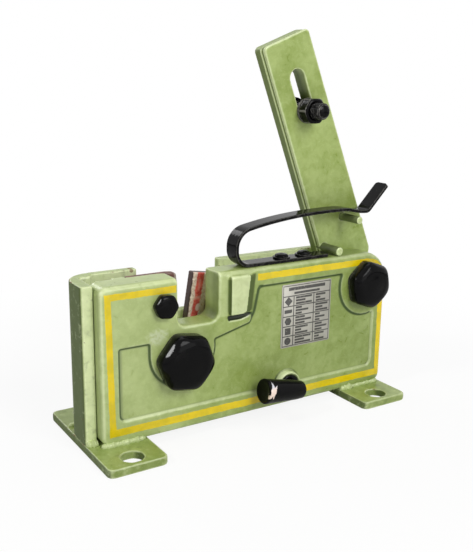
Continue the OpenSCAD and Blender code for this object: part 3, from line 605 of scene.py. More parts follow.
def chart_print(finish):
    """Sheet of the rating plate with a plain chart of bar shapes."""
    tint = colours()
    x, _, z = finish.place()
    low, high = drawn_box("rating_plate")
    wide, tall = high[0] - low[0], high[2] - low[2]
    u = x - low[0]
    v = z - low[2]
    rim, line, soft = 1.4, 0.35, 0.25
    rows, head, reach = 5, 9.5, 3.3
    step = (tall - head - 2 * rim) / rows
    splits = (13.0, 35.0)
    inner = u.within(rim - line, wide - rim + line, 0.1) * v.within(rim - line, tall - rim + line, 0.1)
    ink = abs(u - wide / 2).near(wide / 2 - rim, line, soft).most(
        abs(v - tall / 2).near(tall / 2 - rim, line, soft)
    )
    for row in range(1, rows + 1):
        ink = ink.most(v.near(rim + row * step, line, soft))
    body = v.fall(rim + rows * step, rim + rows * step + 0.1)
    for split in splits:
        ink = ink.most(u.near(split, line, soft) * body)
    ink = ink.most(v.near(tall - rim - head * 0.32, 1.3, 0.3) * u.within(7.0, wide - 7.0, 0.3))
    ink = ink.most(v.near(tall - rim - head * 0.74, 0.9, 0.3) * u.within(13.0, wide - 13.0, 0.3))
    for row in range(rows):
        centre = rim + (row + 0.5) * step
        du = u - (rim + splits[0]) / 2
        dv = v - centre
        shape = (
            (du ** 2 + dv ** 2) ** 0.5 - reach,
            abs(du).most(abs(dv)) - reach * 0.9,
            (abs(du) * 0.866 + abs(dv) * 0.5).most(abs(dv)) - reach * 0.95,
            (abs(du) - reach * 1.2).most(abs(dv) - reach * 0.45),
            (abs(du) + abs(dv)) * 0.72 - reach * 0.9,
        )[row]
        ink = ink.most(shape.fall(0, soft))
        for place, (begin, finish_at) in enumerate(((splits[0], splits[1]), (splits[1], wide - rim))):
            for level in range(3):
                longest = finish_at - begin - 4.0
                length = longest * (1.0 - 0.2 * ((row + 2 * level + place) % 4))
                bar = v.near(centre + (1 - level) * step * 0.29, 0.8, soft)
                ink = ink.most(bar * u.within(begin + 2.0, begin + 2.0 + length, 0.3))
    ink = ink * inner
    cloud = finish.noise(12, detail=4)
    rub = finish.noise(2.2, detail=4)
    ink = ink * (1 - rub.rise(0.58, 0.74) * 0.5)
    sheet = finish.mix(cloud.rise(0.35, 0.75) * 0.4, tint["plate"], linear((0.60, 0.59, 0.55)))
    finish.surface(
        {"Base Color": finish.mix(ink * 0.9, sheet, tint["ink"]), "Roughness": 0.42 + cloud * 0.15,
         "Metallic": 0.35 - ink * 0.3, "Normal": finish.bump(rub, 0.03)}
    )


def set_mark(mesh, name, values):
    """Keeps a value for each point of a mesh, under a name that a finish can read."""
    mark = mesh.attributes.get(name) or mesh.attributes.new(name, "FLOAT", "POINT")
    mark.data.foreach_set("value", np.asarray(values, dtype=np.float32))


def solid_mesh(name, points, faces):
    """A mesh with its faces turned outwards and smooth, sharp only at hard corners."""
    mesh = bpy.data.meshes.new(name)
    mesh.from_pydata([tuple(point) for point in points], [], faces)
    work = bmesh.new()
    work.from_mesh(mesh)
    bmesh.ops.recalc_face_normals(work, faces=work.faces)
    work.to_mesh(mesh)
    work.free()
    points, normals, edges = mesh_arrays(mesh)
    spans = np.linalg.norm(points[edges[:, 0]] - points[edges[:, 1]], axis=1)
    ends = edges.ravel()
    reach = np.bincount(ends, np.repeat(spans, 2), len(points)) / np.bincount(ends, minlength=len(points))
    bend = bulge(points, normals, edges)
    set_mark(mesh, "edge", np.clip((bend / reach - 0.03) * 8, 0, 1))
    mesh.shade_smooth()
    mesh.set_sharp_from_angle(angle=HARD_CORNER)
    return mesh


def skin(name, rings, loop=False, capped=False):
    """A mesh over rings of points; a ring of one point is a pole."""
    starts = np.cumsum([0] + [len(ring) for ring in rings])
    pairs = [(k, k + 1) for k in range(len(rings) - 1)]
    if loop:
        pairs.append((len(rings) - 1, 0))
    faces = []
    for a, b in pairs:
        count = max(len(rings[a]), len(rings[b]))
        for i in range(count):
            j = (i + 1) % count
            corners = [
                starts[a] + i % len(rings[a]), starts[a] + j % len(rings[a]),
                starts[b] + j % len(rings[b]), starts[b] + i % len(rings[b]),
            ]
            faces.append(list(dict.fromkeys(int(corner) for corner in corners)))
    if capped:
        faces.append(list(range(len(rings[0]))))
        faces.append([int(starts[-2]) + i for i in range(len(rings[-1]))])
    return solid_mesh(name, np.concatenate(rings), faces)


def turned(name, rows, centre, along=(0, 1, 0), across=(1, 0, 0), loop=False):
    """A turned shape from rows of radius and depth in millimetres; a radius may depend on the angle."""
    angles = np.linspace(0, 2 * math.pi, SIDES, endpoint=False)
    axis = np.array(along, float)
    right = np.array(across, float)
    up = np.cross(right, axis)
    rings = []
    for radius, depth in rows:
        reach = radius(angles) if callable(radius) else np.full(SIDES, float(radius))
        middle = np.array(centre) + axis * depth * MM
        if reach.max() == 0:
            rings.append(middle[None, :])
            continue
        round_trip = np.outer(np.cos(angles), right) + np.outer(np.sin(angles), up)
        rings.append(middle + round_trip * (reach * MM)[:, None])
    return skin(name, rings, loop=loop)


def quarter(parts):
    """Sines and cosines of even steps over a quarter turn."""
    turns = [math.pi / 2 * part / parts for part in range(parts + 1)]
    return [(math.sin(turn), math.cos(turn)) for turn in turns]


def merged(name, meshes):
    """Several meshes as one."""
    work = bmesh.new()
    for mesh in meshes:
        work.from_mesh(mesh)
    whole = bpy.data.meshes.new(name)
    work.to_mesh(whole)
    work.free()
    return whole


def hexagon(flats, turn, limit, sharp=48):
    """Distance to a hexagon with eased corners, rounded off at a limit, as a function of the angle."""

    def reach(angles):
        normals = [math.radians(30 + 60 * side - turn) for side in range(3)]
        total = sum(np.abs(np.cos(angles - normal)) ** sharp for normal in normals)
        edge = flats / 2 * total ** (-1 / sharp)
        return (edge ** -CORNER_EASE + limit ** -CORNER_EASE) ** (-1 / CORNER_EASE)

    return reach


def thread(radius, depth, pitch):
    """Radius of a screw thread at one depth, as a function of the angle."""

    def reach(angles):
        ridge = np.abs(2 * ((angles / (2 * math.pi) + depth / pitch) % 1) - 1)
        return radius - pitch * 0.32 * (1 - np.clip(ridge * 1.3, 0, 1))

    return reach


def thread_rows(radius, start, end, pitch):
    """Rows of a screw thread between two depths."""
    count = int(abs(end - start) / 0.25) + 1
    return [(thread(radius, depth, pitch), depth) for depth in np.linspace(start, end, count)]


def shank_rows(radius, start, end, bevel=0.6):
    """Rows of a plain shank with a bevelled end."""
    inward = math.copysign(bevel, start - end)
    return [(radius, start), (radius, end + inward), (radius - bevel, end), (0, end)]


def head_rows(flats, turn, tip, seat, crown=0.9):
    """Rows of a hexagon head from its domed face to its seat."""
    inward = 1 if seat > tip else -1
    corner = flats * TURNED_CORNER
    face = flats * 0.27
    depth = flats * 0.17
    bevel = flats * 0.16
    slope = math.tan(math.radians(30))
    rows = [(0, tip)]
    rows += [(face * share, tip + inward * crown * share ** 2) for share in (0.4, 0.75, 1.0)]
    for sine, cosine in quarter(16)[1:]:
        level = crown + depth * (1 - cosine)
        limit = face + (corner - face) * sine
        across = flats - 2 * slope * max(0.0, bevel - level)
        rows.append((hexagon(across, turn, limit), tip + inward * level))
    rows.append((hexagon(flats, turn, corner), seat - inward * 0.4))
    rows.append((hexagon(flats - 0.8, turn, corner), seat))
    return rows


def nut_rows(flats, turn, bore, front, back):
    """Rows of a hexagon nut, bevelled at both faces."""
    corner = flats * TURNED_CORNER
    rise = flats * 0.07
    rows = [(bore, front + 0.8), (bore + 0.8, front), (flats * 0.44, front)]
    rows += [(hexagon(flats, turn, flats * 0.49), front + rise * 0.35)]
    for level in (front + rise, front + rise + 0.7, back - rise - 0.7, back - rise):
        rows.append((hexagon(flats, turn, corner), level))
    rows += [(hexagon(flats, turn, flats * 0.49), back - rise * 0.35)]
    rows += [(flats * 0.44, back), (bore + 0.8, back), (bore, back - 0.8)]
    return rows


def nut_mesh(name, flats, turn, bore, front, back, centre):
    """A hexagon nut with marks along its sharp edges."""
    mesh = turned(name, nut_rows(flats, turn, bore, front, back), centre, loop=True)
    angles = np.linspace(0, 2 * math.pi, SIDES, endpoint=False)
    reach = hexagon(flats, turn, flats * TURNED_CORNER)(angles) / flats
    corner = np.clip((reach - 0.533) / 0.007, 0, 1)
    plain, sharp = np.zeros(SIDES), np.ones(SIDES)
    half = [plain, plain, plain, plain, sharp, corner]
    set_mark(mesh, "edge", np.concatenate(half + half[::-1]))
    return mesh


def washer_rows(bore, rim, front, back, ease=0.5):
    """Rows of a flat washer with eased rims."""
    return [
        (bore, front), (rim - 2 * ease, front), (rim - ease * 0.3, front + ease * 0.3), (rim, front + ease),
        (rim, back - ease), (rim - ease * 0.3, back - ease * 0.3), (rim - 2 * ease, back), (bore, back),
    ]


def neighbour_mean(values, edges):
    """Mean of each point's neighbours, column by column."""
    near, far = edges[:, 0], edges[:, 1]
    counts = np.bincount(edges.ravel(), minlength=len(values))
    total = np.empty_like(values)
    for column in range(values.shape[1]):
        total[:, column] = np.bincount(near, values[far, column], len(values))
        total[:, column] += np.bincount(far, values[near, column], len(values))
    return total / counts[:, None]


def bulge(points, normals, edges):
    """How far each point stands out from the mean of its neighbours."""
    return -np.einsum("ij,ij->i", neighbour_mean(points, edges) - points, normals)


def mesh_arrays(mesh):
    """Points, normals and edges of a mesh."""
    points = np.empty(len(mesh.vertices) * 3)
    mesh.vertices.foreach_get("co", points)
    normals = np.empty(len(mesh.vertices) * 3)
    mesh.vertices.foreach_get("normal", normals)
    edges = np.empty(len(mesh.edges) * 2, dtype=np.int32)
    mesh.edges.foreach_get("vertices", edges)
    return points.reshape(-1, 3), normals.reshape(-1, 3), edges.reshape(-1, 2)


def cast_mesh(node, grain, passes=4, softer=None, softer_passes=14, carve=None, shade=None):
    """A node's shape with the soft edges of a casting, marked by how sharp each place is."""
    rough = bpy.data.objects.new(node + "_rough", frame["nodes"][node].data.copy())
    work = bmesh.new()
    work.from_mesh(rough.data)
    bmesh.ops.remove_doubles(work, verts=work.verts, dist=0.002 * MM)
    work.to_mesh(rough.data)
    work.free()
    bpy.context.scene.collection.objects.link(rough)
    cast = rough.modifiers.new("Cast", "REMESH")
    cast.mode = "VOXEL"
    cast.voxel_size = grain
    bpy.context.view_layer.update()
    mesh = bpy.data.meshes.new_from_object(rough.evaluated_get(bpy.context.evaluated_depsgraph_get()))
    bpy.data.objects.remove(rough)
    points, normals, edges = mesh_arrays(mesh)
    for _ in range(passes):
        points += SMOOTHING * (neighbour_mean(points, edges) - points)
    if softer is not None:
        weight = np.clip(softer(drawn(points)), 0, 1)[:, None] * SMOOTHING
        for _ in range(softer_passes):
            points += weight * (neighbour_mean(points, edges) - points)
    if carve is not None:
        points += carve(drawn(points), normals) * MM
    mesh.vertices.foreach_set("co", points.ravel())
    mesh.update()
    points, normals, edges = mesh_arrays(mesh)
    bend = bulge(points, normals, edges)
    sharpness = (bend / grain)[:, None]
    for _ in range(2):
        sharpness = 0.5 * sharpness + 0.5 * neighbour_mean(sharpness, edges)
    set_mark(mesh, "edge", np.clip(sharpness[:, 0] * 9.0, -1, 1))
    if shade is not None:
        set_mark(mesh, "shade", np.clip(shade(drawn(points), normals), -1, 1))
    mesh.shade_smooth()
    return mesh


def show(name, mesh, body, maker, *nodes):
    """Puts a piece on its body, in its finish and slot, in place of the nodes that it stands for."""
    piece = bpy.data.objects.new(name, mesh)
    bpy.context.scene.collection.objects.link(piece)
    mesh.materials.clear()
    mesh.materials.append(finish_of(maker))
    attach(piece, body)
    if nodes:
        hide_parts(*nodes)


def coat_node(node, maker):
    """Gives a node that stays as it is a finish of its own."""
    kept = frame["nodes"][node]
    if not kept.data.materials:
        kept.data.materials.append(finish_of(maker))
    for slot_shadow in kept.material_slots:
        slot_shadow.material = finish_of(maker)


class CUTTER_OT_castings(bpy.types.Operator):
    """Front plate with its painted line, and rear casting"""

    bl_idname = "cutter.castings"
    bl_label = "Castings"

    def execute(self, context):
        sizes = context.scene.cutter_sizes

        def around_notch(spots):
            """How much softer the edges are beside the cutting notch."""
            x, _, z = spots.T
            beside = np.minimum(x - 70, 160 - x) / 4
            return np.minimum(beside, (z - 94) / 3)

        def plate_painted_light(spots, normals):
            """Above 0 painted shade on the panel's walls, the lug's sides, the notch's wall and the left
            side, a painted shadow in the slot under the lug and a darker strip beside the panel's left wall;
            below 0 painted highlights on the lug's front, beside the lug, on the boss and along the outer
            rims.
            """
            x, y, z = spots.T
            left, out, up = normals.T * np.array([[-1], [-1], [1]])
            inside = span(x, 22, 290) & span(z, 20, 124) & ((x < 67) | (x > 124) | (z < 93))
            # Painted shade on the panel's walls that face down or to the side, painted highlight on those
            # that face up and on its right wall.
            wall = inside * np.clip((0.72 - np.abs(y - 0.75)) * 5, 0, 1)
            tone = wall * np.clip(0.35 - up * 2.0 + np.abs(left) * 1.5, -0.32, 0.95)
            tone = np.where(x > 283, wall * -0.45, tone)
            # A darker strip on the panel beside its left wall.
            corner = span(x, 24, 29) & span(z, 24, 85) & (y > 0.9)
            tone = np.where(corner, np.clip((29 - x) / 2, 0, 0.7), tone)
            lug = span(x, 121, 160) & span(z, 97, 136) & (y < 1.2)
            # Painted shade on the lug's steep sides.
            steep = np.where(left > 0, left - 0.55, -left - 0.12)
            tone = np.where(lug & (steep > 0), np.clip(steep * 6, 0, 1), tone)
            # Painted shadow in the slot under the lug.
            slot_shadow = span(x, 124, 149.5) & span(z, 94.5, 99.8) & (z > 95 + (x - 137) * 0.3) & (y > 0.4)
            tone = np.where(slot_shadow, 1.0, tone)
            # Painted highlight on the lug's front.
            tone = np.where(lug & (y < -2.5) & (out > 0.85), -0.62, tone)
            # Painted shade on the notch's wall, darkest on its front half.
            notch = span(x, 108, 125) & (z > 97) & (left > 0.5) & (y > 1)
            tone = np.where(notch, np.interp(y, (1, 3, 9, 14), (0.1, 0.45, 0.4, 0.1)), tone)
            # Painted highlight beside the lug.
            beside = span(x, 116, 128) & (z > 99) & (out > 0.9) & (y < 1) & (tone == 0)
            tone = np.where(beside, -0.22, tone)
            # Painted shade on the plate's left side.
            tone = np.where((x < 12) & (left > 0.8), 0.40, tone)
            # Painted highlight on the boss's upper left.
            beyond, _, over = (spots - drawn(LOCK_PLACE)).T
            boss = (np.abs(np.hypot(beyond, over) - 13) < 1.5) & (y < 0.2)
            tone = np.where(boss, np.interp(over * 0.6 - beyond, (2, 10), (0, -0.85)), tone)
            # Painted highlight along the plate's outer rims on the left and at the top.
            rim = np.clip((0.96 - out) * 8, 0, 1) * np.clip((out - 0.25) * 6, 0, 1)
            return tone - rim * np.where((x < 17) & (left > 0), 0.55, np.where(z > 130, 0.4, 0))

        def cast_painted_light(spots, normals):
            """Painted light on the lip's front and inside the rear wall, partly rubbed paint, and painted
            shade on the left end.
            """
            x, y, z = spots.T
            facing = np.clip(-normals[:, 1] * 3 - 1.8, 0, 1)
            # Painted light on the lip's front and inside the rear wall; painted shade on the left end.
            rubbed = np.where((x < 11) & (y < 14), 0.75, np.where((y > 40) & (z > 84), 1.0, 0.0))
            return np.clip(-normals[:, 0] * 3 - 1.5, 0, 1) * (x < 12) - facing * rubbed

        plate = cast_mesh("front_plate", sizes.plate_grain, passes=3, softer=around_notch, softer_passes=12,
                          shade=plate_painted_light)
        show("front_plate_cast", plate, "frame", striped_paint, "front_plate")
        rear = cast_mesh("rear_casting", sizes.cast_grain, passes=4, shade=cast_painted_light)
        show("rear_casting_cast", rear, "frame", chipped_paint, "rear_casting")
        return {"FINISHED"}


class CUTTER_OT_feet(bpy.types.Operator):
    """Feet, and the weld beads that join them to the body"""

    bl_idname = "cutter.feet"
    bl_label = "Feet and welds"

    # Start, end, depth, radius and lumpiness of the beads in front.
    BEADS = {
        "left_foot": ((9.5, 48.0, 1.5, 3.1, 0.16), (0.8, 10.8, 11.2, 4.4, 0.25)),
        "right_foot": ((251.0, 266.0, 1.2, 3.8, 0.28), (262.0, 298.0, 1.8, 2.6, 0.10)),
    }

    def weld(self, start, end, radius, lumps):
        """A lumpy bead between two places."""
        count = int((end - start).length / (0.6 * MM))
        along = (end - start).normalized()
        side = Vector((0, 0, 1)).cross(along)
        rings = [np.array([start])]
        for step in range(1, count):
            share = step / count
            run = share * (end - start).length / MM
            lump = 0.6 * math.sin(run * 1.5) + 0.5 * math.sin(run * 0.63 + 1.3) + 0.3 * math.sin(run * 2.9)
            thick = radius * (1 + lumps * lump)
            ending = min(1.0, math.sqrt(min(share, 1 - share) * count / 5))
            middle = start.lerp(end, share) + side * 0.3 * MM * math.sin(run * 0.57)
            rings.append(np.array([
                middle + (side * math.cos(turn) + Vector((0, 0, 1)) * math.sin(turn)) * thick * ending
                for turn in np.linspace(0, 2 * math.pi, 14, endpoint=False)
            ]))
        rings.append(np.array([end]))
        bead = skin("bead", rings)
        set_mark(bead, "edge", np.zeros(len(bead.vertices)))
        set_mark(bead, "shade", np.full(len(bead.vertices), -0.42))
        return bead

    def execute(self, context):
        sizes = context.scene.cutter_sizes

        def foot_tone(spots, normals):
            """Slightly darker on the top and the front, painted shade on the left side."""
            beside, before = (np.clip(-normals[:, axis] * 3 - 1.5, 0, 1) for axis in (0, 1))
            return normals[:, 2] * 0.12 + beside * 0.9 + before * 0.3

        for node in ("left_foot", "right_foot"):
            foot = cast_mesh(node, sizes.cast_grain, passes=4, shade=foot_tone)
            show(node + "_plate", foot, "frame", chipped_paint, node)
            low, high = drawn_box(node)
            height = high[2] + 0.6
            behind = (low[0] + 2, high[0] - 2, BODY_DEPTH - 0.8, sizes.weld_radius / MM, 0.12)
            beads = [
                self.weld(at(start, depth, height), at(end, depth, height), radius * MM, lumps)
                for start, end, depth, radius, lumps in (*self.BEADS[node], behind)
            ]
            show(node + "_welds", merged(node + "_welds", beads), "frame", green_paint)
        return {"FINISHED"}


class CUTTER_OT_lever(bpy.types.Operator):
    """Forged lever with its pegs"""

    bl_idname = "cutter.lever"
    bl_label = "Lever and pegs"

    def peg(self, node):
        """A peg with a domed tip at its front."""
        low, high = drawn_box(node)
        radius = (high[0] - low[0]) / 2
        dome = radius * 0.45
        rows = [(radius * sine, low[1] + dome * (1 - cosine)) for sine, cosine in quarter(6)]
        rows += [(radius, high[1]), (0, high[1])]
        mesh = turned(node, rows, axis_of(node))
        depth = drawn(mesh_arrays(mesh)[0])[:, 1]
        # Painted shade on the peg's sides, painted highlight on its tip.
        set_mark(mesh, "shade", np.where(depth < low[1] + radius * 0.3, -0.3, 0.85))
        return mesh

    def execute(self, context):
        sizes = context.scene.cutter_sizes
        front = drawn_box("lever")[0][1]
        depth = sizes.parting_depth / MM
        pivot = drawn(LEVER_PIVOT)

        def leaning(vectors):
            """Parts of vectors across the lever and along it."""
            x, z = vectors[:, 0], vectors[:, 2]
            lean = math.cos(LEVER_LEAN), math.sin(LEVER_LEAN)
            return x * lean[0] + z * lean[1], z * lean[0] - x * lean[1]

        def in_slot(spots):
            """Which spots lie in the clamp's slot."""
            across, along = leaning(spots - pivot)
            return (np.abs(across - 6.0) < 10) & (np.abs(along - 181) < 26)

        def parting_line(spots, normals):
            """A shallow groove along the lever's edges, away from its hub."""
            groove = np.exp(-((spots[:, 1] - front - 4.6) / 1.0) ** 2)
            outside = (np.hypot(*leaning(spots - pivot)) > 30) & ~in_slot(spots)
            sideways = np.clip(1 - np.abs(normals[:, 1]), 0, 1)
            return -normals * (depth * groove * sideways * outside)[:, None]

        def lever_painted_light(spots, normals):
            """Painted shade on the sides, the top face and the slot's walls, with a painted highlight band
            along the sides behind the parting line.
            """
            behind = spots[:, 1] - front
            sideways = np.clip((np.abs(leaning(normals)[0]) - 0.3) * 2, 0, 1)
            # Painted bands of shade and highlight along the sides.
            tone = np.interp(behind, (3.4, 4.0, 5.2, 5.8, 6.8, 7.4), (0, 0.6, 0.6, -0.65, -0.65, 0.75))
            tone = tone * sideways * (np.hypot(*leaning(spots - pivot)) > 30)
            # Painted shade on the top face.
            tone = np.where(leaning(normals)[1] > 0.6, np.interp(behind, (1.5, 3.0), (0, 0.45)), tone)
            # Painted shade on the slot's walls, deeper in the slot.
            walls = np.abs(normals[:, 1]) < 0.6
            return np.where(in_slot(spots), walls * np.interp(behind, (1.5, 5, 9), (0, 0.15, 0.65)), tone)

        bar = cast_mesh("lever", sizes.plate_grain, passes=4, carve=parting_line, shade=lever_painted_light)
        show("lever_forging", bar, "lever_arm", green_paint, "lever")
        for node in ("latch_peg", "stop_peg"):
            show(node + "_pin", self.peg(node), "lever_arm", green_paint, node)
        return {"FINISHED"}


class CUTTER_OT_pivots(bpy.types.Operator):
    """Pivot bolts with their washers and nuts"""

    bl_idname = "cutter.pivots"
    bl_label = "Pivot bolts"

    def execute(self, context):
        # Name, axis, size across flats, turns of head and nut in degrees, and radius of the shank.
        pivots = (
            ("main_pivot", MAIN_PIVOT, 46.0, 9.0, 20.0, 15.0),
            ("lever_pivot", LEVER_PIVOT, 41.0, 20.0, 5.0, 13.5),
        )
        pitch = 3.0
        for name, place, flats, head_turn, nut_turn, radius in pivots:
            centre = on_face(place)
            tip, end = (corner[1] for corner in drawn_box(name + "_bolt"))
            washer = drawn_box(name + "_washer")
            nut = [corner[1] for corner in drawn_box(name + "_nut")]
            rows = head_rows(flats, head_turn, tip, 0.0)
            rows += [(radius, 0.0), (radius, nut[1] - 1.0)]
            rows += thread_rows(radius, nut[1] - 0.9, end - 0.8, pitch)
            rows += [(radius - pitch * 0.34, end), (0, end)]
            bolt = turned(name, rows, centre)
            show(name + "_bolt_black", bolt, "frame", black_enamel, name + "_bolt")
            rim = (washer[1][0] - washer[0][0]) / 2
            rows = washer_rows(radius + WASHER_PLAY, rim, washer[0][1], washer[1][1])
            ring = turned(name, rows, centre, loop=True)
            show(name + "_washer_black", ring, "frame", black_enamel, name + "_washer")
            block = nut_mesh(name, flats, nut_turn, radius, nut[0], nut[1], centre)
            show(name + "_nut_black", block, "frame", black_enamel, name + "_nut")
        return {"FINISHED"}


class CUTTER_OT_blades(bpy.types.Operator):
    """Fixed blade with its bolt, and moving blade with its screws"""

    bl_idname = "cutter.blades"
    bl_label = "Blades"

    def execute(self, context):
        sizes = context.scene.cutter_sizes
        corner = drawn_box("fixed_blade")[1]

        def top_corner(spots):
            """How much softer the blade's top corner is."""
            return 1 - np.hypot(spots[:, 0] - corner[0], spots[:, 2] - corner[2]) / 7

        fixed = cast_mesh("fixed_blade", sizes.fine_grain, passes=3, softer=top_corner, softer_passes=60)
        show("fixed_blade_steel", fixed, "frame", fixed_blade_steel, "fixed_blade")
        moving = cast_mesh("moving_blade", sizes.fine_grain, passes=3)
        show("moving_blade_steel", moving, "jaw", moving_blade_steel, "moving_blade")
        low, high = drawn_box("fixed_blade_bolt")
        flats, turn, radius = 19.0, 7.0, 6.0
        rows = head_rows(flats, turn, low[1], 0.0, crown=0.5) + shank_rows(radius, 0.0, high[1])
        bolt = turned("fixed_blade_bolt", rows, axis_of("fixed_blade_bolt"))
        show("fixed_blade_bolt_black", bolt, "frame", black_enamel, "fixed_blade_bolt")
        coat_node("moving_blade_screws", black_enamel)
        return {"FINISHED"}


class CUTTER_OT_strap(bpy.types.Operator):
    """Sprung strap in one piece, with its screws and washers"""

    bl_idname = "cutter.strap"
    bl_label = "Strap"

    def middle_line(self):
        """Middle of the strap from its end on the plate to the tip of its finger tab."""
        leg_low, leg_high = drawn_box("latch_leg")
        thick = 3.0
        base = leg_low[2] + thick / 2
        left = leg_low[0] + thick / 2
        low_bend, up_bend, upright, slope = 13.0, 16.0, 2.5, math.radians(12)
        low_centre = np.array([left + low_bend, base + low_bend])
        up_centre = np.array([left + up_bend, base + low_bend + upright])
        dip = np.array([drawn(LEVER_PIVOT)[0] + 1.0, 175.25])
        hump = dip + [-29.0, 3.4]
        kink = 5.0
        tab, tab_angle = 30.0, math.radians(46)

        def arc(centre, radius, start, end, count):
            """Points along part of a circle, between two angles in degrees."""
            turn = np.radians(np.linspace(start, end, count))
            return centre + radius * np.stack([np.cos(turn), np.sin(turn)], axis=1)

        def curve(a, b, c, d, count):
            """Points along a smooth curve from a to d that b and c steer, without a itself."""
            t = np.linspace(0, 1, count)[1:, None]
            return (1 - t) ** 3 * a + 3 * (1 - t) ** 2 * t * b + 3 * (1 - t) * t * t * c + t ** 3 * d

        leave = arc(up_centre, up_bend, 90 + math.degrees(slope), 90 + math.degrees(slope), 1)[0]
        run = hump[0] - leave[0]
        parts = [
            np.stack([np.linspace(leg_high[0], low_centre[0], 40)[:-1], np.full(39, base)], axis=1),
            arc(low_centre, low_bend, 270, 180, 24),
            np.stack([np.full(6, left), np.linspace(low_centre[1], up_centre[1], 8)[1:-1]], axis=1),
            arc(up_centre, up_bend, 180, 90 + math.degrees(slope), 20),
            curve(leave, leave + run * 0.4 * np.array([math.cos(slope), math.sin(slope)]),
                  hump - [run * 0.24, 0], hump, 40),
            curve(hump, hump + [13.05, 0], dip - [13.05, 0], dip, 20),
            arc(dip + [0, kink], kink, 270, 270 + math.degrees(tab_angle), 8)[1:],
        ]
        turn = parts[-1][-1]
        rise = np.array([math.cos(tab_angle), math.sin(tab_angle)])
        parts.append(turn + np.linspace(0, tab, 30)[1:, None] * rise)
        return np.concatenate(parts), thick

    def section(self, half_width, half_thick, ease):
        """Points of the strap's cross-section as depth and height, with a mark on the rounded corners."""
        spots, marks = [], []
        support = 0.7
        rim = [0.5, 0.9, 1.0, 0.9, 0.5]
        for corner, (side, face) in enumerate(((1, 1), (-1, 1), (-1, -1), (1, -1))):
            inner = np.array([side * (half_width - ease), face * (half_thick - ease)])
            turns = [math.pi / 2 * (corner + part / 4) for part in range(5)]
            ring = [inner + ease * np.array([math.cos(turn), math.sin(turn)]) for turn in turns]
            before = ring[0] - support * np.array([-math.sin(turns[0]), math.cos(turns[0])])
            after = ring[-1] + support * np.array([-math.sin(turns[-1]), math.cos(turns[-1])])
            along_thick = corner % 2 == 0
            spots += ring + [after] if along_thick else [before] + ring
            marks += rim + [0.0] if along_thick else [0.0] + rim
        return np.array(spots), marks

    def execute(self, context):
        ease = context.scene.cutter_sizes.strap_edge / MM
        line, thick = self.middle_line()
        low, high = drawn_box("latch_leg")
        middle_y = (low[1] + high[1]) / 2
        half_width = (high[1] - low[1]) / 2
        spots, marks = self.section(half_width, thick / 2, ease)
        heading = np.gradient(line, axis=0)
        heading /= np.linalg.norm(heading, axis=1)[:, None]
        beside = np.stack([-heading[:, 1], heading[:, 0]], axis=1)
        steps = np.linalg.norm(np.diff(line, axis=0), axis=1)
        gone = np.concatenate([[0], np.cumsum(steps)])
        round_end = 2.5
        rings = []
        for place, normal, run in zip(line, beside, gone):
            to_end = min(run, gone[-1] - run)
            cut = max(0.0, round_end - to_end)
            pull = round_end - math.sqrt(max(0.0, round_end ** 2 - cut ** 2))
            share = (half_width - pull) / half_width
            ring = []
            for deep, out in spots:
                x, z = place + normal * out
                ring.append(at(x, middle_y + deep * share, z))
            rings.append(np.array(ring))
        mesh = skin("strap", rings, capped=True)
        set_mark(mesh, "edge", np.tile(marks, len(rings)))
        strap = bpy.data.objects.new("strap_spring", mesh)
        context.scene.collection.objects.link(strap)
        mesh.materials.append(finish_of(black_enamel))
        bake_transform(strap)
        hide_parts("latch_leg", "latch_arm")
        self.screws()
        return {"FINISHED"}

    def screws(self):
        """Round-topped hexagon screws on thick washers."""
        low, high = drawn_box("latch_screws")
        ring_low, ring_high = drawn_box("latch_washers")
        rim = (ring_high[1] - ring_low[1]) / 2
        middle_y = (ring_low[1] + ring_high[1]) / 2
        flats, radius = 11.1, 4.0
        heads, rings = [], []
        for x, turn in ((ring_low[0] + rim, 14.0), (ring_high[0] - rim, 37.0)):
            foot = at(x, middle_y, 0)
            rows = head_rows(flats, turn, high[2], ring_high[2], crown=0.5)
            rows += shank_rows(radius, ring_high[2], low[2])
            heads.append(turned("head", rows, foot, along=(0, 0, 1)))
            rows = washer_rows(radius + WASHER_PLAY, rim, ring_low[2], ring_high[2], ease=0.35)
            rings.append(turned("ring", rows, foot, along=(0, 0, 1), loop=True))
        show("strap_screws_black", merged("strap_screws", heads), "frame", black_enamel, "latch_screws")
        show("strap_washers_black", merged("strap_washers", rings), "frame", black_enamel, "latch_washers")


class CUTTER_OT_clamp(bpy.types.Operator):
    """Clamp bolt, nut and washers in the lever's slot"""

    bl_idname = "cutter.clamp"
    bl_label = "Handle clamp"

    def execute(self, context):
        bolt = drawn_box("handle_clamp_bolt")
        nut = drawn_box("handle_clamp_nut")
        rings = drawn_box("handle_clamp_washers")
        centre = axis_of("handle_clamp_nut")
        radius, flats, turn, pitch, thick = 7.0, 21.0, -22.0, 2.0, 2.5
        rows = head_rows(flats, turn, bolt[1][1], rings[1][1], crown=0.6)
        rows += [(radius, rings[1][1]), (radius, nut[1][1])]
        rows += thread_rows(radius, nut[0][1] + 1.0, bolt[0][1] + 2.4, pitch)
        dome = [((radius - 0.9) * cosine, bolt[0][1] + 2.2 * (1 - sine)) for sine, cosine in quarter(6)]
        rows += [*dome[:-1], (0, bolt[0][1])]
        stud = turned("clamp_bolt", rows, centre)
        show("clamp_bolt_black", stud, "handle_clamp", worn_and_sheen_enamel, "handle_clamp_bolt")
        block = nut_mesh("clamp_nut", flats, 0.0, radius, nut[0][1], nut[1][1], centre)
        show("clamp_nut_black", block, "handle_clamp", worn_and_sheen_enamel, "handle_clamp_nut")
        rim = (rings[1][0] - rings[0][0]) / 2
        pair = []
        for front in (rings[0][1], rings[1][1] - thick):
            rows = washer_rows(radius + WASHER_PLAY, rim, front, front + thick)
            pair.append(turned("ring", rows, centre, loop=True))
        washers = merged("clamp_washers", pair)
        show("clamp_washers_black", washers, "handle_clamp", worn_and_sheen_enamel, "handle_clamp_washers")
        return {"FINISHED"}


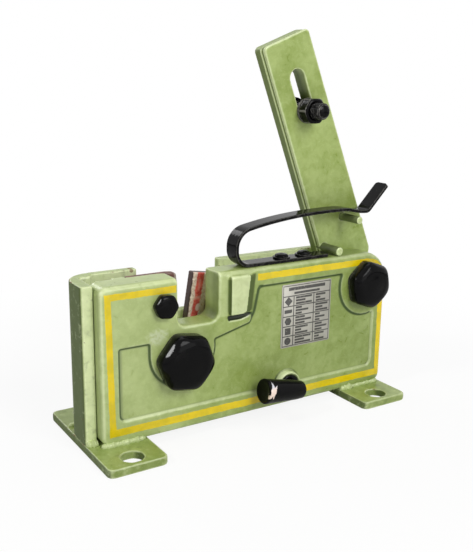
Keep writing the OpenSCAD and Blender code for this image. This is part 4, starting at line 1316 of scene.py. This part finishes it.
class CUTTER_OT_lock(bpy.types.Operator):
    """Lock screw, its tapered handle and the rim on its boss"""

    bl_idname = "cutter.lock"
    bl_label = "Lock screw"

    def execute(self, context):
        low, high = drawn_box("lock_screw")
        centre = on_face(LOCK_PLACE)
        radius = 6.0
        collar = (high[0] - low[0]) / 2
        boss = 3.0
        back = -boss - 0.4
        front = back - 2.0
        rows = [(0, low[1]), (radius, low[1]), (radius, front)]
        ease = 1.4
        rows += [(collar - ease + ease * sine, front + ease * (1 - cosine)) for sine, cosine in quarter(5)]
        rows += [(collar, back - 0.3), (collar - 0.3, back), (radius, back), (radius, high[1]), (0, high[1])]
        screw = turned("lock_screw", rows, centre)
        show("lock_screw_black", screw, "lock", black_enamel, "lock_screw")
        rim = collar + 0.4
        half, height, sunk = 1.1, 1.5, 0.5
        rows = [(rim, sunk - boss)]
        for part in range(9):
            angle = math.pi * part / 8
            rows.append((rim + half - half * math.cos(angle), -boss - height * math.sin(angle)))
        rows.append((rim + 2 * half, sunk - boss))
        ring = turned("lock_boss_rim", rows, centre, loop=True)
        # Painted highlight on the rim's upper left.
        points, _, _ = mesh_arrays(ring)
        aside = ((points[:, 2] - centre[2]) * 0.6 - (points[:, 0] - centre[0])) / MM
        set_mark(ring, "shade", np.interp(aside, (0, 9), (-0.1, -0.85)))
        show("lock_boss_rim", ring, "frame", green_paint)
        self.handle()
        return {"FINISHED"}

    def handle(self):
        """The tapered grip, rounded at the hub and dished at its free end."""
        small, large, hub, end = 8.0, 11.0, -8.0, 36.0
        rows = [((small - 0.2) * sine, hub + 4.0 * (1 - cosine)) for sine, cosine in quarter(6)]
        taper = (large - small) / (end - hub)
        rows += [(small + taper * (depth - hub), depth) for depth in (2, 10, 18, 26, 32)]
        ease = 1.6
        rows += [(large - ease + ease * cosine, end - ease + ease * sine) for sine, cosine in quarter(6)]
        rows += [(large - 3.2, end - 0.3), (large - 4.4, end - 0.7)]
        rows += [(large * 0.3, end - 0.8), (0, end - 0.8)]
        mesh = turned("lock_handle", rows, HANDLE_HUB, along=tuple(HANDLE_AXIS), across=(0, 1, 0))
        show("lock_handle_black", mesh, "lock", handle_enamel, "lock_handle")


class CUTTER_OT_rating_plate(bpy.types.Operator):
    """Thin plate with a chart of bar shapes"""

    bl_idname = "cutter.rating_plate"
    bl_label = "Rating plate"

    def execute(self, context):
        low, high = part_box("rating_plate")
        corners = ((high.x, high.z, 0), (low.x, high.z, 90), (low.x, low.z, 180), (high.x, low.z, 270))
        ease = 0.2 * MM
        corner = 1.5 * MM

        def outline(inset, depth):
            """A ring of points along the sheet's edge, with round corners."""
            ring = []
            for x, z, start in corners:
                inward = math.copysign(1, low.x + high.x - 2 * x)
                upward = math.copysign(1, low.z + high.z - 2 * z)
                for part in range(7):
                    angle = math.radians(start + 15 * part)
                    ring.append((
                        x + inward * corner + (corner - inset) * math.cos(angle), depth,
                        z + upward * corner + (corner - inset) * math.sin(angle),
                    ))
            return np.array(ring)

        rings = [outline(0, high.y), outline(0, low.y + ease), outline(ease, low.y)]
        sheet = skin("rating_plate", rings, capped=True)
        show("rating_plate_sheet", sheet, "frame", chart_print, "rating_plate")
        return {"FINISHED"}


class CUTTER_OT_inner(bpy.types.Operator):
    """Jaw, distance ring and body screws"""

    bl_idname = "cutter.inner"
    bl_label = "Jaw and inner pieces"

    def execute(self, context):
        jaw = cast_mesh("moving_jaw", context.scene.cutter_sizes.cast_grain, passes=3)
        show("moving_jaw_cast", jaw, "jaw", green_paint, "moving_jaw")
        coat_node("body_screws", black_enamel)
        coat_node("lever_spacer", bare_steel)
        return {"FINISHED"}


class CUTTER_OT_studio(bpy.types.Operator):
    """White floor and surround, five lamps and the camera"""

    bl_idname = "cutter.studio"
    bl_label = "Studio"

    def lamp(self, name, place, size, power):
        """A soft lamp that points at the middle of the object."""
        light = bpy.data.lights.new(name, "AREA")
        light.shape = "DISK"
        light.size = size
        light.energy = power
        lamp = bpy.data.objects.new(name, light)
        lamp.location = place
        middle = (CAD_BOX[0] + CAD_BOX[1]) / 2
        lamp.rotation_euler = (middle - Vector(place)).to_track_quat("-Z", "Y").to_euler()
        bpy.context.scene.collection.objects.link(lamp)

    def floor(self):
        """A pale floor that turns pure white away from the object and keeps its shadow."""
        mesh = bpy.data.meshes.new("floor")
        reach = 6.0
        corners = [(-reach, -reach, 0), (reach, -reach, 0), (reach, reach, 0), (-reach, reach, 0)]
        mesh.from_pydata(corners, [], [(0, 1, 2, 3)])
        floor = bpy.data.objects.new("floor", mesh)
        bpy.context.scene.collection.objects.link(floor)
        material, finish = new_finish("floor")
        away = finish.node("ShaderNodeVectorMath", {"operation": "LENGTH"}, {0: finish.spot()}, "Value")
        seen = finish.node("ShaderNodeLightPath", {}, {}, "Is Camera Ray")
        plain = finish.node("ShaderNodeBsdfDiffuse", {}, {"Color": (0.92, 0.92, 0.92, 1)})
        white = finish.node("ShaderNodeEmission", {}, {"Color": (1, 1, 1, 1), "Strength": 1.0})
        share = seen * (0.88 + 0.12 * away.rise(0.2, 0.5))
        mixed = finish.node("ShaderNodeMixShader", {}, {0: share, 1: plain, 2: white})
        finish.node("ShaderNodeOutputMaterial", {}, {"Surface": mixed})
        mesh.materials.append(material)

    def surround(self, strength):
        """White for the camera, mirrors and glass, dimmer as a light."""
        world = bpy.data.worlds.new("surround")
        world.use_nodes = True
        bpy.context.scene.world = world
        finish = Finish(world.node_tree)
        rays = [
            finish.node("ShaderNodeLightPath", {}, {}, ray)
            for ray in ("Is Camera Ray", "Is Glossy Ray", "Is Transmission Ray")
        ]
        seen = rays[0].most(rays[1]).most(rays[2])
        sky = finish.node(
            "ShaderNodeBackground", {}, {"Color": (1, 1, 1, 1), "Strength": strength + seen * (1 - strength)}
        )
        finish.node("ShaderNodeOutputWorld", {}, {"Surface": sky})

    def execute(self, context):
        studio = context.scene.cutter_studio
        self.lamp("key lamp", (0.25, -1.40, 1.10), 0.90, studio.key_power)
        self.lamp("rim lamp", (-0.30, 1.50, 1.00), 0.60, studio.rim_power)
        self.lamp("fill lamp", (0.45, -1.60, 0.45), 1.0, studio.fill_power)
        self.lamp("spark lamp", (-1.31, -0.13, 1.11), 0.26, studio.spark_power)
        self.lamp("top lamp", (0.10, 0.20, 1.70), 1.2, studio.top_power)
        self.floor()
        self.surround(studio.surround)
        camera = bpy.data.cameras.new("camera")
        camera.lens = studio.lens
        camera.sensor_width = 36.0
        viewer = bpy.data.objects.new("camera", camera)
        context.scene.collection.objects.link(viewer)
        ahead = Vector((
            math.sin(studio.yaw) * math.cos(studio.pitch), math.cos(studio.yaw) * math.cos(studio.pitch),
            -math.sin(studio.pitch),
        ))
        level = Vector((math.cos(studio.yaw), -math.sin(studio.yaw), 0))
        upright = level.cross(ahead)
        right = level * math.cos(studio.roll) + upright * math.sin(studio.roll)
        basis = Matrix((right, right.cross(ahead), -ahead)).transposed()
        viewer.matrix_world = Matrix.Translation(studio.place) @ basis.to_4x4()
        context.scene.camera = viewer
        context.scene.view_settings.view_transform = "Standard"
        return {"FINISHED"}


class CUTTER_PT_pieces(bpy.types.Panel):
    """Pieces of the bar cutter and their settings"""

    bl_idname = "CUTTER_PT_pieces"
    bl_label = "Bar Cutter"
    bl_space_type = "VIEW_3D"
    bl_region_type = "UI"
    bl_category = "Bar Cutter"

    def draw(self, context):
        scene = context.scene
        for settings in (scene.cutter_colours, scene.cutter_sizes, scene.cutter_studio):
            for key in settings.__annotations__:
                self.layout.prop(settings, key)
        for operator in OPERATORS:
            self.layout.operator(operator.bl_idname)


OPERATORS = (
    CUTTER_OT_castings, CUTTER_OT_feet, CUTTER_OT_lever, CUTTER_OT_pivots, CUTTER_OT_blades, CUTTER_OT_strap,
    CUTTER_OT_clamp, CUTTER_OT_lock, CUTTER_OT_rating_plate, CUTTER_OT_inner, CUTTER_OT_studio,
)
SETTINGS = {
    "cutter_colours": CutterColours,
    "cutter_sizes": CutterSizes,
    "cutter_studio": CutterStudio,
}


def register():
    """Makes the settings, operators and panel known to Blender."""
    for name, group in SETTINGS.items():
        bpy.utils.register_class(group)
        setattr(bpy.types.Scene, name, bpy.props.PointerProperty(type=group))
    for operator in OPERATORS:
        bpy.utils.register_class(operator)
    bpy.utils.register_class(CUTTER_PT_pieces)


def unregister():
    """Takes them away again."""
    bpy.utils.unregister_class(CUTTER_PT_pieces)
    for operator in reversed(OPERATORS):
        bpy.utils.unregister_class(operator)
    for name, group in SETTINGS.items():
        delattr(bpy.types.Scene, name)
        bpy.utils.unregister_class(group)


def main():
    """Builds every piece and the studio."""
    register()
    bpy.ops.cutter.castings()
    bpy.ops.cutter.feet()
    bpy.ops.cutter.lever()
    bpy.ops.cutter.pivots()
    bpy.ops.cutter.blades()
    bpy.ops.cutter.strap()
    bpy.ops.cutter.clamp()
    bpy.ops.cutter.lock()
    bpy.ops.cutter.rating_plate()
    bpy.ops.cutter.inner()
    bpy.ops.cutter.studio()


if __name__ == "__main__":
    main()
